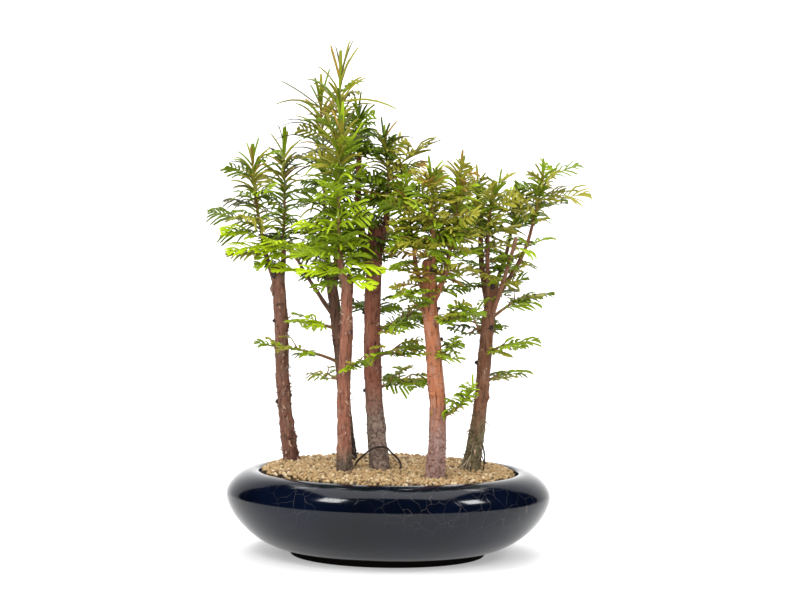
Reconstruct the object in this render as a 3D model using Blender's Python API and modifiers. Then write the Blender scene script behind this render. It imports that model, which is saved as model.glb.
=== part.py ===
# Dawn redwood bonsai group: six slim trunks in an oval incurved pot filled with granules.
# Lengths are in millimetres and turn into metres where a mesh is made. X runs to the right,
# Y away from the viewer and Z up, from the middle of the pot's flat underside.

import math
import random

import bmesh
import bpy
from mathutils import Matrix, Vector

MM = 0.001
GAP = 0.3
SEED = 23

# Pot: radii are along X, and the depth is a fixed share of the width.
POT_DEPTH_RATIO = 0.80
POT_HEIGHT = 84.5
POT_BELLY_RADIUS = 163.0
POT_BELLY_HEIGHT = 60.5
POT_FOOT_RADIUS = 98.0
POT_FOOT_HEIGHT = 6.5
POT_CREST_RADIUS = 136.5
POT_LIP_RADIUS = 130.0
POT_WALL = 9.0
POT_FLOOR = 14.0
POT_SWELL = 1.65
POT_STEPS = 36

# Soil: granules heaped towards the left and the back, with a short slope down to the lip. The rings
# are shares of the lip's radius.
SOIL_TOP = 86.0
SOIL_EDGE = 80.0
SOIL_LEVEL_SHARE = 0.93
SOIL_RINGS = (0.78, 0.62, 0.46, 0.30, 0.15)
SOIL_GAP = 0.4
HEAP_HEIGHT = 4.5
HEAP_RADIUS = 146.0
HEAP_MIDDLE = 0.62
HEAP_FALL_RIGHT = 210.0
HEAP_RISE_BACK = 420.0
FOOT_RISE = 0.9

# Trunks: foot and head centres, sideways sway (one bend, two bends), radii at the foot, the
# body and the head, and the height over which the root flare fades.
TRUNK_SIDES = 10
TRUNK_RINGS = 11
TRUNKS = {
    "trunk_left": dict(
        foot=(-100, 28), head=(-116, 27, 290), sway=(-2.0, -1.1), radii=(7.9, 7.1, 6.5), flare=20,
    ),
    "trunk_front_left": dict(
        foot=(-43, -38), head=(-43, -38, 281), sway=(-1.3, -0.7), radii=(8.0, 6.7, 5.7), flare=22,
    ),
    "trunk_back_left": dict(
        foot=(-40, 36), head=(-63, 36, 281), sway=(1.2, -0.5), radii=(7.4, 6.3, 5.5), flare=18,
    ),
    "trunk_centre": dict(
        foot=(-8.5, -15), head=(-16.5, -12, 331), sway=(-5.6, -0.4), radii=(9.6, 9.0, 7.5), flare=34,
    ),
    "trunk_front_right": dict(
        foot=(45.5, -60), head=(36.5, -59, 298), sway=(2.8, 2.1), radii=(9.2, 8.3, 7.0), flare=26,
    ),
    "trunk_right": dict(
        foot=(82, -4), head=(102, -6, 281), sway=(1.6, 1.1), radii=(10.0, 6.9, 6.4), flare=26,
    ),
}
ROOT_LOBES = 5
ROOT_LOBE_DEPTH = 0.13

# Boughs: the trunk or bough each leaves, the height where it does, its tip, the bow of its
# middle and its radii. Each is cut clear of everything it grows beside.
BOUGH_SIDES = 6
BOUGH_RINGS = 7
BOUGHS = {
    "bough_left_outer": dict(
        on="trunk_left", height=259, tip=(-131, 15, 318), bow=(-4, 0, 0), radii=(3.0, 2.0),
    ),
    "bough_left_inner": dict(
        on="trunk_left", height=266, tip=(-110.5, 33, 303), bow=(3, 0, 0), radii=(3.6, 2.6),
    ),
    "bough_front_left": dict(
        on="trunk_front_left", height=264, tip=(-50.5, -42, 302), bow=(-3, -1, 0), radii=(4.2, 3.0),
    ),
    "bough_back_left": dict(
        on="trunk_back_left", height=258, tip=(-67, 42, 306), bow=(-1, 1, 0), radii=(3.7, 2.6),
    ),
    "bough_back_spire": dict(
        on="trunk_back_left", height=252, tip=(-57.5, 22, 318), bow=(3, -4, 0), radii=(2.8, 2.0),
    ),
    "bough_back_low": dict(
        on="trunk_back_left", height=233, tip=(-95, 19, 293), bow=(-1, 1, -2), radii=(2.2, 1.5),
    ),
    "bough_centre_left": dict(
        on="trunk_centre", height=278, tip=(-34, 5, 398), bow=(-12, 0, -8), radii=(4.6, 2.7),
    ),
    "bough_centre_right": dict(
        on="trunk_centre", height=290, tip=(-5.5, -9, 347), bow=(7, 1, 3), radii=(4.4, 3.3),
    ),
    "bough_front_right_left": dict(
        on="trunk_front_right", height=255, tip=(21.5, -54, 308), bow=(-6, 3, -2), radii=(3.1, 1.8),
    ),
    "bough_front_right_mid": dict(
        on="trunk_front_right", height=268, tip=(39.5, -67, 330), bow=(6, -4, 0), radii=(3.4, 2.2),
    ),
    "bough_front_right_side": dict(
        on="trunk_front_right", height=252, tip=(57, -63, 312), bow=(6, -3, -4), radii=(3.0, 2.0),
    ),
    "bough_right_back": dict(
        on="trunk_right", height=246, tip=(89, 20, 326), bow=(-5, 2, 0), radii=(3.1, 2.3),
    ),
    "bough_right_mid": dict(
        on="trunk_right", height=250, tip=(95, -20, 322), bow=(-3, -8, 0), radii=(2.9, 1.9),
    ),
    "bough_right_stub": dict(
        on="trunk_right", height=232, tip=(122, -30, 320), bow=(2, -4, -2), radii=(2.8, 1.6),
    ),
    "bough_right_outer": dict(
        on="trunk_right", height=256, tip=(141, 8, 334), bow=(12, 3, -6), radii=(2.7, 1.6),
    ),
    "bough_right_inner": dict(
        on="trunk_right", height=266, tip=(120, 30, 322), bow=(4, 8, -5), radii=(2.6, 1.6),
    ),
}

# Masses of needles: the bough or trunk each stem grows from (with the height on a trunk), its
# tip and bow, the feather sprays with their reach, and the single needles with their length.
# "bare" is the share of the stem that stays without sprays, "droop" how far a spray's end sinks.
TWIG_SIDES = 3
TWIG_ROOT_RADIUS = 1.5
TWIG_TIP_RADIUS = 0.7
MASSES = {
    "needles_left_outer": dict(
        on="bough_left_outer", tip=(-141, 8, 392), bow=(-3, 0, 2), sprays=8, reach=50, needles=10,
        needle=30, bare=0.0, droop=7,
        reaches=[(0.12, 184, 26, 60, "spray"), (0.08, 205, 4, 44, "spray")],
    ),
    "needles_left_inner": dict(
        on="bough_left_inner", tip=(-112, 46, 404), bow=(2, 4, 0), sprays=8, reach=43, needles=9,
        needle=26, bare=0.05, droop=6,
    ),
    "needles_front_left": dict(
        on="bough_front_left", tip=(-50, -46, 424), bow=(-3, 0, 0), sprays=11, reach=48, needles=12,
        needle=34, bare=0.0, droop=6,
    ),
    "needles_back_left": dict(
        on="bough_back_left", tip=(-75, 40, 456), bow=(2, 8, 0), sprays=7, reach=41, needles=12,
        needle=38, bare=0.0, droop=6,
        reaches=[(0.95, 172, 18, 50, "needle"), (0.6, 178, 24, 52, "spray")],
    ),
    "needles_back_spire": dict(
        on="bough_back_spire", tip=(-54, 9, 476), bow=(2, -2, 0), sprays=7, reach=41, needles=15,
        needle=40, bare=0.0, droop=6,
        reaches=[(0.99, 200, 74, 39, "needle"), (0.99, -10, 64, 42, "needle"),
                 (0.86, -12, 8, 60, "needle"), (0.7, 5, 14, 44, "spray")],
    ),
    "needles_back_low": dict(
        on="bough_back_low", tip=(-108, 2, 308), bow=(0, 0, 4), sprays=4, reach=36, needles=0, needle=20,
        bare=0.0, droop=3,
    ),
    "needles_centre_left": dict(
        on="bough_centre_left", tip=(-36, 12, 440), bow=(0, 0, 0), sprays=6, reach=39, needles=9,
        needle=26, bare=0.0, droop=5,
    ),
    "needles_centre_right": dict(
        on="bough_centre_right", tip=(-10, -2, 418), bow=(5, 3, 0), sprays=8, reach=43, needles=9,
        needle=26, bare=0.1, droop=6,
        reaches=[(0.5, -42, 36, 66, "spray"), (0.42, -12, 34, 48, "spray")],
    ),
    "needles_front_right_left": dict(
        on="bough_front_right_left", tip=(13, -41, 370), bow=(-2, 3, 0), sprays=8, reach=39, needles=8,
        needle=24, bare=0.0, droop=5,
    ),
    "needles_front_right_mid": dict(
        on="bough_front_right_mid", tip=(37, -72, 380), bow=(1, 0, 0), sprays=7, reach=39, needles=8,
        needle=24, bare=0.0, droop=5,
    ),
    "needles_front_right_side": dict(
        on="bough_front_right_side", tip=(66, -49, 384), bow=(2, -2, 0), sprays=8, reach=39, needles=9,
        needle=26, bare=0.0, droop=5,
    ),
    "needles_right_back": dict(
        on="bough_right_back", tip=(86, 30, 376), bow=(0, 2, 0), sprays=6, reach=39, needles=5,
        needle=20, bare=0.0, droop=5,
    ),
    "needles_right_mid": dict(
        on="bough_right_mid", tip=(104, -34, 372), bow=(-4, 2, 0), sprays=8, reach=39, needles=5,
        needle=20, bare=0.0, droop=5,
    ),
    "needles_right_outer": dict(
        on="bough_right_outer", tip=(150, 6, 384), bow=(2, 2, 0), sprays=6, reach=46, needles=6,
        needle=20, bare=0.0, droop=5, reaches=[(0.5, -4, 12, 54, "spray"), (0.9, 8, 26, 44, "spray")],
    ),
    "needles_right_inner": dict(
        on="bough_right_inner", tip=(129, 42, 362), bow=(2, 2, 0), sprays=6, reach=39, needles=5,
        needle=18, bare=0.0, droop=5,
    ),
    "sprays_left_wide": dict(
        on="trunk_back_left", height=188, tip=(-122, -2, 208), bow=(8, -4, 6), sprays=5, reach=27,
        needles=0, needle=16, bare=0.3, droop=3,
    ),
    "sprays_left_high": dict(
        on="trunk_back_left", height=222, tip=(-84, 20, 228), bow=(0, 0, 5), sprays=4, reach=34,
        needles=0, needle=16, bare=0.2, droop=3,
    ),
    "sprays_left_low": dict(
        on="trunk_back_left", height=168, tip=(-66, 50, 176), bow=(0, 0, 2), sprays=2, reach=25,
        needles=0, needle=16, bare=0.2, droop=2,
    ),
    "sprays_front_left": dict(
        on="trunk_front_left", height=186, tip=(-29, -56, 198), bow=(0, 0, 2), sprays=3, reach=23,
        needles=0, needle=16, bare=0.2, droop=2,
    ),
    "sprays_centre_high": dict(
        on="trunk_centre", height=222, tip=(22, -12, 240), bow=(0, 0, 4), sprays=5, reach=36, needles=0,
        needle=16, bare=0.2, droop=4,
    ),
    "sprays_centre_mid": dict(
        on="trunk_centre", height=196, tip=(14, -32, 210), bow=(0, 0, 4), sprays=3, reach=32, needles=0,
        needle=16, bare=0.2, droop=3,
    ),
    "sprays_centre_low": dict(
        on="trunk_centre", height=166, tip=(16, 0, 176), bow=(0, 0, 2), sprays=4, reach=39, needles=0,
        needle=16, bare=0.2, droop=3,
    ),
    "sprays_centre_back": dict(
        on="trunk_centre", height=236, tip=(-20, 26, 250), bow=(0, 0, 4), sprays=4, reach=36, needles=0,
        needle=16, bare=0.2, droop=3,
    ),
    "sprays_front_right_high": dict(
        on="trunk_front_right", height=232, tip=(64, -72, 246), bow=(0, 0, 4), sprays=4, reach=30,
        needles=0, needle=16, bare=0.2, droop=3,
    ),
    "sprays_front_right_mid": dict(
        on="trunk_front_right", height=196, tip=(62, -46, 214), bow=(0, 0, 4), sprays=4, reach=32,
        needles=0, needle=16, bare=0.2, droop=3,
    ),
    "shoot_front_right_low": dict(
        on="trunk_front_right", height=144, tip=(80, -78, 178), bow=(8, 0, -8), sprays=5, reach=25,
        needles=3, needle=14, bare=0.35, droop=1,
    ),
    "sprays_front_right_left": dict(
        on="trunk_front_right", height=240, tip=(10, -76, 268), bow=(0, 0, 2), sprays=3, reach=30,
        needles=0, needle=16, bare=0.35, droop=3,
    ),
    "sprays_right_high": dict(
        on="trunk_right", height=236, tip=(136, 4, 262), bow=(0, 0, 4), sprays=5, reach=34, needles=0,
        needle=16, bare=0.35, droop=3,
    ),
    "sprays_right_mid": dict(
        on="trunk_right", height=202, tip=(118, -16, 214), bow=(0, 0, 3), sprays=4, reach=32, needles=0,
        needle=16, bare=0.2, droop=3,
    ),
    "sprays_right_low": dict(
        on="trunk_right", height=172, tip=(118, 8, 184), bow=(0, 0, 3), sprays=4, reach=32, needles=0,
        needle=16, bare=0.2, droop=3,
    ),
    "sprays_right_back": dict(
        on="trunk_right", height=214, tip=(84, 36, 240), bow=(-4, 0, 4), sprays=5, reach=34, needles=0,
        needle=16, bare=0.2, droop=3,
    ),
}
SPRAY_WIDTH_SHARE = 0.70
SPRAY_LONG = 35.0
SPRAY_STALK = 0.9
SPRAY_THICKNESS = 1.3
NEEDLE_WIDTH = 3.4
NEEDLE_THICKNESS = 1.3
GOLDEN_TURN = math.radians(137.5)
STEEP_ROLL = math.radians(55)
LEVEL_ROLL = math.radians(28)
SAMPLE_STEP = 3.0
LEAF_CLEARANCE = 2.0
CELL = 14.0
CROWN_FLOOR = 100.0

# How a mass grows. Angles are in degrees, shares are of the stem's length.
STEM_ONWARD = 0.12
LAST_SPRAY = 0.97
STEEP_STEM = 0.6
SPRAY_RISE = (6, 26)
SPRAY_RISE_GAIN = 26
SPRAY_LENGTH_AT_FOOT = 1.05
SPRAY_LENGTH_LOSS = 0.42
SPRAY_VARY = (0.85, 1.1)
SIDE_TURN = (42, 66)
SIDE_RISE = (0, 16)
END_SPRAY_TURN = 0.3
REACH_ROLL = 0.3
NEEDLE_FIRST = 0.99
NEEDLE_BAND = 0.42
NEEDLE_STEEPEST = 78
NEEDLE_FLATTENS = 66
NEEDLE_WANDER = 6
NEEDLE_VARY = (0.8, 1.1)
SHORTER_TRIES = (1.0, 0.8, 0.62)

# A feather spray's teeth, as shares of its length and of its half width.
STALK_SHARE = 0.16
TOOTHED_SHARE = 0.78
TOOTH_LEAN = 0.95
LAST_TOOTH_SHARE = 0.8

# A looped root arches out of the soil at the foot of the centre trunk.
LOOP_RADIUS = 1.1
LOOP_ARCH = [(-34, -24, 0), (-30.7, -25, 5.5), (-24.1, -26, 11.8), (-18.2, -27, 17), (-12.2, -28, 19.6),
             (-2.8, -29, 20.1), (3.1, -29, 14.8), (9, -28, 9.3), (12.2, -28, 3.5), (11.5, -31, 0)]

COLOURS = {
    "pot": ((0.010, 0.014, 0.030), 0.08),
    "soil": ((0.52, 0.38, 0.20), 0.95),
    "looped_root": ((0.05, 0.035, 0.025), 0.8),
    "trunk": ((0.17, 0.075, 0.045), 0.9),
    "bough": ((0.20, 0.09, 0.055), 0.9),
    "needles": ((0.16, 0.28, 0.04), 0.6),
    "sprays": ((0.20, 0.36, 0.05), 0.6),
    "shoot": ((0.22, 0.40, 0.05), 0.6),
}


def clear_scene():
    for item in list(bpy.data.objects):
        bpy.data.objects.remove(item, do_unlink=True)


def make_material(name):
    kind = name if name in COLOURS else name.split("_")[0]
    colour, roughness = COLOURS[kind]
    material = bpy.data.materials.new(name)
    material.use_nodes = True
    shader = material.node_tree.nodes["Principled BSDF"]
    shader.inputs["Base Color"].default_value = (*colour, 1.0)
    shader.inputs["Roughness"].default_value = roughness
    material.diffuse_color = (*colour, 1.0)
    return material


def make_object(name, bm, collection, smooth=True):
    mesh = bpy.data.meshes.new(name)
    bm.to_mesh(mesh)
    bm.free()
    item = bpy.data.objects.new(name, mesh)
    collection.objects.link(item)
    if smooth:
        mesh.shade_smooth()
        mesh.set_sharp_from_angle(angle=math.radians(40))
    return item


def swell(share):
    """Radius share of the pot's bulging side at a share of its height."""
    return (1 - share ** POT_SWELL) ** (1 / POT_SWELL)


def side_arc(belly, end, low, high, steps):
    """Points of a bulging side from the belly to its narrow end, as radius and height."""
    points = []
    for step in range(steps + 1):
        share = math.sin(math.pi / 2 * step / steps)
        points.append((end + (belly - end) * swell(share), low + (high - low) * share))
    return points


def inner_profile(shrink, low_steps=4, high_steps=4):
    """The hollow's side from the edge of its floor up to the lip."""
    belly = POT_BELLY_RADIUS - POT_WALL - shrink
    floor = POT_FLOOR + shrink
    throat = POT_LIP_RADIUS - shrink
    lower = side_arc(belly, POT_FOOT_RADIUS + POT_WALL - shrink, POT_BELLY_HEIGHT, floor, low_steps)
    upper = side_arc(belly, throat, POT_BELLY_HEIGHT, SOIL_EDGE - 3, high_steps)
    return lower[::-1] + upper[1:]


def turned(name, profile, collection):
    """Turn a profile of radius and height round Z and press it into an oval."""
    bm = bmesh.new()
    verts = [bm.verts.new((radius * MM, 0, height * MM)) for radius, height in profile]
    for first, second in zip(verts, verts[1:]):
        bm.edges.new((first, second))
    item = make_object(name, bm, collection, smooth=False)
    item.scale.y = POT_DEPTH_RATIO
    screw = item.modifiers.new("turn", "SCREW")
    screw.steps = POT_STEPS
    screw.render_steps = POT_STEPS
    screw.use_merge_vertices = True
    screw.merge_threshold = 0.0001
    return item


def build_pot(collection):
    """The bowl: floor, bulging hollow, rounded crest, bulging outside, plain foot."""
    inside = [(0, POT_FLOOR)] + inner_profile(0) + [(POT_LIP_RADIUS, POT_HEIGHT - 1.5)]
    crest = [(POT_LIP_RADIUS + 2, POT_HEIGHT - 0.3)]
    outside = side_arc(POT_BELLY_RADIUS, POT_CREST_RADIUS, POT_BELLY_HEIGHT, POT_HEIGHT, 4)[::-1]
    below = side_arc(POT_BELLY_RADIUS, POT_FOOT_RADIUS + 3, POT_BELLY_HEIGHT, POT_FOOT_HEIGHT, 6)[1:]
    foot = [(POT_FOOT_RADIUS, 0), (0, 0)]
    return turned("pot", inside + crest + outside + below + foot, collection)


def heap(x, y):
    """How far the granules stand above their lowest level at a place."""
    out = math.hypot(x, y / POT_DEPTH_RATIO) / HEAP_RADIUS
    lean = HEAP_MIDDLE - x / HEAP_FALL_RIGHT + y / HEAP_RISE_BACK
    return HEAP_HEIGHT * min(1.0, max(0.0, lean)) * (1 - out ** 4)


def ground_level(x, y):
    """Height of a flat cut that clears the granules round a foot."""
    return SOIL_TOP + heap(x, y) + FOOT_RISE


def build_soil(collection):
    """The filling, heaped on top, clear of the pot all round."""
    side = inner_profile(SOIL_GAP, low_steps=2, high_steps=2)
    slope = [(POT_LIP_RADIUS - SOIL_GAP, SOIL_EDGE), (POT_LIP_RADIUS * SOIL_LEVEL_SHARE, SOIL_TOP)]
    floor = [(0, POT_FLOOR + SOIL_GAP)]
    top = [(POT_LIP_RADIUS * share, SOIL_TOP) for share in SOIL_RINGS] + [(0, SOIL_TOP)]
    item = turned("soil", (floor + side + slope + top)[::-1], collection)
    settle(item)
    for vert in item.data.vertices:
        if vert.co.z > (SOIL_EDGE - 1) * MM:
            vert.co.z += heap(vert.co.x / MM, vert.co.y / MM * POT_DEPTH_RATIO) * MM
    return item


def bezier(start, end, bow, share):
    """Point on a limb that bows away from the straight line by a given amount."""
    start, end, bow = Vector(start), Vector(end), Vector(bow)
    return start.lerp(end, share) + bow * (2 * share * (1 - share))


def trunk_path(spec, count):
    """Centre points of a trunk from its foot to its head, swaying sideways."""
    foot = Vector((*spec["foot"], ground_level(*spec["foot"])))
    head = Vector(spec["head"])
    one, two = spec["sway"]
    points = []
    for step in range(count):
        share = (step / (count - 1)) ** 1.25
        sway = one * math.sin(math.pi * share) + two * math.sin(2 * math.pi * share)
        points.append(foot.lerp(head, share) + Vector((sway, 0, 0)))
    return points


def trunk_radii(spec, path):
    foot, body, head = spec["radii"]
    ground = ground_level(*spec["foot"])
    radii = []
    for point in path:
        rise = point.z - ground
        share = rise / (spec["head"][2] - ground)
        taper = body + (head - body) * share
        radii.append(taper + (foot - body) * math.exp(-rise / spec["flare"]))
    return radii


def at_height(path, height):
    """Point of an upright path at a height."""
    for low, high in zip(path, path[1:]):
        if low.z <= height <= high.z:
            return low.lerp(high, (height - low.z) / (high.z - low.z))
    return path[-1].copy()


def frames(path):
    """Two unit vectors across the path at each point, turned as little as possible."""
    side = None
    result = []
    for index in range(len(path)):
        ahead = path[min(index + 1, len(path) - 1)] - path[max(index - 1, 0)]
        ahead.normalize()
        if side is None:
            side = Vector((1, 0, 0)) if abs(ahead.x) < 0.9 else Vector((0, 0, 1))
        side = (side - ahead * side.dot(ahead)).normalized()
        result.append((side.copy(), ahead.cross(side)))
    return result


def tube(bm, path, radii, sides, level_foot=False, lobes=None):
    """A closed tube along a path: a cylinder cut into rings that are laid on the path."""
    bmesh.ops.create_cone(bm, cap_ends=True, segments=sides, radius1=1, radius2=1, depth=1)
    upright = [edge for edge in bm.edges if abs(edge.verts[0].co.z - edge.verts[1].co.z) > 0.5]
    bmesh.ops.subdivide_edges(bm, edges=upright, cuts=len(path) - 2, use_grid_fill=True)
    across = frames(path)
    for vert in bm.verts:
        ring = round((vert.co.z + 0.5) * (len(path) - 1))
        angle = math.atan2(vert.co.y, vert.co.x)
        radius = radii[ring]
        if lobes:
            radius *= 1 + lobes(ring, angle)
        side, up = across[ring]
        if level_foot and ring == 0:
            side, up = Vector((1, 0, 0)), Vector((0, 1, 0))
        vert.co = (path[ring] + side * (radius * math.cos(angle)) + up * (radius * math.sin(angle))) * MM


def tube_object(name, path, radii, sides, collection, **extra):
    bm = bmesh.new()
    tube(bm, path, radii, sides, **extra)
    return make_object(name, bm, collection)


def root_flare(path, spec):
    """Shallow lobes that fade with height, so that a foot isn't round."""
    turn = spec["foot"][0]

    def lobes(ring, angle):
        rise = path[ring].z - path[0].z
        return ROOT_LOBE_DEPTH * math.cos(ROOT_LOBES * angle + turn) * math.exp(-rise / spec["flare"])

    return lobes


def build_trunk(name, spec, collection, swollen=0.0):
    path = trunk_path(spec, TRUNK_RINGS)
    radii = [radius + swollen for radius in trunk_radii(spec, path)]
    lobes = root_flare(path, spec)
    return tube_object(name, path, radii, TRUNK_SIDES, collection, level_foot=True, lobes=lobes)


def bough_path(spec):
    start = at_height(trunk_path(TRUNKS[spec["on"]], TRUNK_RINGS), spec["height"])
    last = BOUGH_RINGS - 1
    return [bezier(start, spec["tip"], spec["bow"], step / last) for step in range(BOUGH_RINGS)]


def bough_radii(spec, swollen=0.0):
    first, last = spec["radii"]
    return [first + (last - first) * step / (BOUGH_RINGS - 1) + swollen for step in range(BOUGH_RINGS)]


def settle(item):
    """Replace an object's mesh by its evaluated one, keeping only the largest connected piece."""
    bpy.context.view_layer.update()
    depsgraph = bpy.context.evaluated_depsgraph_get()
    mesh = bpy.data.meshes.new_from_object(item.evaluated_get(depsgraph))
    item.modifiers.clear()
    bm = bmesh.new()
    bm.from_mesh(mesh)
    waiting = set(bm.verts)
    pieces = []
    while waiting:
        piece = {waiting.pop()}
        edge = list(piece)
        while edge:
            for link in edge.pop().link_edges:
                for vert in link.verts:
                    if vert in waiting:
                        waiting.remove(vert)
                        piece.add(vert)
                        edge.append(vert)
        pieces.append(piece)
    pieces.sort(key=len)
    scrap = [vert for piece in pieces[:-1] for vert in piece]
    bmesh.ops.delete(bm, geom=scrap, context="VERTS")
    bm.to_mesh(mesh)
    bm.free()
    item.data = mesh
    mesh.shade_smooth()
    mesh.set_sharp_from_angle(angle=math.radians(40))


def combine(item, operation, other=None, group=None, solver="EXACT"):
    """Boolean with one object, or with all objects of a collection."""
    boolean = item.modifiers.new(operation.lower(), "BOOLEAN")
    boolean.operation = operation
    boolean.solver = solver
    if group:
        boolean.operand_type = "COLLECTION"
        boolean.collection = group
    else:
        boolean.object = other


def build_boughs(collection, cutters, trunk_cutters):
    """Boughs one by one, each cut clear of its trunk and of the boughs made before it."""
    made = {}
    swollen = {}
    for name, spec in BOUGHS.items():
        path = bough_path(spec)
        item = tube_object(name, path, bough_radii(spec), BOUGH_SIDES, collection)
        combine(item, "DIFFERENCE", trunk_cutters[spec["on"]])
        for other, cutter in swollen.items():
            if BOUGHS[other]["on"] == spec["on"]:
                combine(item, "DIFFERENCE", cutter)
        settle(item)
        made[name] = item
        swollen[name] = tube_object(name + "_clearance", path, bough_radii(spec, GAP), BOUGH_SIDES, cutters)
    return made


def stem_path(spec, count=6):
    """A mass's stem: on from its bough's tip, or out of its trunk's axis."""
    if spec["on"] in TRUNKS:
        start = at_height(trunk_path(TRUNKS[spec["on"]], TRUNK_RINGS), spec["height"])
        return [bezier(start, spec["tip"], spec["bow"], step / (count - 1)) for step in range(count)]
    bough = bough_path(BOUGHS[spec["on"]])
    ahead = (bough[-1] - bough[-2]).normalized()
    start = bough[-1] + ahead * (GAP + 0.05)
    length = (Vector(spec["tip"]) - start).length
    onward = start + ahead * (length * STEM_ONWARD)
    path = [start, onward]
    for step in range(1, count - 1):
        path.append(bezier(onward, spec["tip"], spec["bow"], step / (count - 2)))
    return path


def along(path, share):
    """Point and direction at a share of a path."""
    place = share * (len(path) - 1)
    index = min(int(place), len(path) - 2)
    return path[index].lerp(path[index + 1], place - index), (path[index + 1] - path[index]).normalized()


def heading(azimuth, elevation):
    level = math.cos(elevation)
    return Vector((math.cos(azimuth) * level, math.sin(azimuth) * level, math.sin(elevation)))


def half_width(length):
    """Half the width of a feather spray of a given length."""
    return length * SPRAY_WIDTH_SHARE / 2


def growth(spec, chance):
    """The sprays and needles that one mass would like to have, each a kind, root, way and length."""
    path = stem_path(spec)
    rise = (path[-1] - path[0]).normalized().z
    stem_way = math.atan2(path[-1].y - path[0].y, path[-1].x - path[0].x)
    wishes = []
    for share, azimuth, elevation, length, kind in spec.get("reaches", ()):
        root, _ = along(path, share)
        way = heading(math.radians(azimuth), math.radians(elevation))
        wishes.append((kind, root, way, REACH_ROLL, length))
    turn = chance.uniform(0, 2 * math.pi)
    count = spec["sprays"]
    for index in range(count):
        share = spec["bare"] + (LAST_SPRAY - spec["bare"]) * (index + 0.6) / count
        root, _ = along(path, share)
        if rise > STEEP_STEM:
            turn += GOLDEN_TURN
            azimuth = turn
            elevation = math.radians(chance.uniform(*SPRAY_RISE) + SPRAY_RISE_GAIN * share)
            roll = chance.uniform(-STEEP_ROLL, STEEP_ROLL)
            length = spec["reach"] * (SPRAY_LENGTH_AT_FOOT - SPRAY_LENGTH_LOSS * share)
        else:
            side = 1 if index % 2 else -1
            off_stem = math.radians(chance.uniform(*SIDE_TURN))
            if index == count - 1:
                off_stem *= END_SPRAY_TURN
            azimuth = stem_way + side * off_stem
            elevation = math.radians(chance.uniform(*SIDE_RISE))
            roll = chance.uniform(-LEVEL_ROLL, LEVEL_ROLL)
            length = spec["reach"]
        length *= chance.uniform(*SPRAY_VARY)
        wishes.append(("spray", root, heading(azimuth, elevation), roll, length))
    for index in range(spec["needles"]):
        down = index / spec["needles"]
        root, _ = along(path, NEEDLE_FIRST - NEEDLE_BAND * down ** 1.3)
        wander = chance.uniform(-NEEDLE_WANDER, NEEDLE_WANDER)
        elevation = math.radians(NEEDLE_STEEPEST - NEEDLE_FLATTENS * down ** 0.7 + wander)
        roll = chance.uniform(-STEEP_ROLL, STEEP_ROLL)
        length = spec["needle"] * chance.uniform(*NEEDLE_VARY)
        wishes.append(("needle", root, heading(turn + GOLDEN_TURN * index, elevation), roll, length))
    return path, wishes


def across_way(way, roll):
    """Unit vector across a leaf's way, level before the leaf is rolled about it."""
    level = Vector((0, 0, 1)).cross(way).normalized()
    return Matrix.Rotation(roll, 3, way) @ level


def sample_points(kind, root, way, roll, length, droop):
    """Points all over a spray or a needle, some three millimetres apart."""
    level = across_way(way, roll)
    half = half_width(length) if kind == "spray" else 0.0
    points = []
    steps = max(3, round(length / SAMPLE_STEP))
    across = max(1, round(2 * half / SAMPLE_STEP))
    for step in range(2, steps + 1):
        share = step / steps
        middle = root + way * (length * share) - Vector((0, 0, droop * share * share))
        for column in range(across + 1):
            offset = half * (2 * column / across - 1) if half else 0.0
            if share > 0.85:
                offset *= 0.3
            if share < 0.2:
                offset = 0.0
            points.append(middle + level * offset)
    return points


def cell(point):
    return tuple(math.floor(value / CELL) for value in point)


def note(occupied, owner, points, radius):
    for point in points:
        occupied.setdefault(cell(point), []).append((owner, point, radius))


def touches(occupied, owner, points, radius):
    """Whether any point comes too near a limb, or a leaf of another mass."""
    for point in points:
        if point.z < CROWN_FLOOR:
            return True
        x, y, z = cell(point)
        for nearby in ((x + i, y + j, z + k) for i in (-1, 0, 1) for j in (-1, 0, 1) for k in (-1, 0, 1)):
            for other, place, reach in occupied.get(nearby, ()):
                if other != owner and (place - point).length < reach + radius + GAP:
                    return True
    return False


def note_limbs(occupied):
    """Mark the space of every trunk, bough and stem."""
    for name, spec in TRUNKS.items():
        path = trunk_path(spec, 60)
        for point, radius in zip(path, trunk_radii(spec, path)):
            note(occupied, name, [point], radius + 1)
    for name, spec in BOUGHS.items():
        path = bough_path(spec)
        radii = bough_radii(spec)
        for step in range(31):
            share = step / 30
            point, _ = along(path, share)
            note(occupied, name, [point], radii[0] + (radii[-1] - radii[0]) * share + 1)
    for name, spec in MASSES.items():
        path = stem_path(spec)
        for step in range(2, 31):
            note(occupied, name, [along(path, step / 30)[0]], LEAF_CLEARANCE)


def place_leaves():
    """Deal each mass's leaves out in turn and leave out those that would touch a limb or a neighbour."""
    occupied = {}
    note_limbs(occupied)
    chance = random.Random(SEED)
    plans = {}
    for name, spec in MASSES.items():
        path, wishes = growth(spec, chance)
        plans[name] = (path, wishes, [])
    longest = max(len(wishes) for _, wishes, _ in plans.values())
    for turn in range(longest):
        for name, (path, wishes, kept) in plans.items():
            if turn >= len(wishes):
                continue
            kind, root, way, roll, length = wishes[turn]
            for shorter in SHORTER_TRIES:
                droop = MASSES[name]["droop"] * shorter if kind == "spray" else 0.0
                leaf = (kind, root, way, roll, length * shorter, droop)
                points = sample_points(*leaf)
                if not touches(occupied, name, points, LEAF_CLEARANCE):
                    note(occupied, name, points, LEAF_CLEARANCE)
                    kept.append(leaf)
                    break
    return plans


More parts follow.
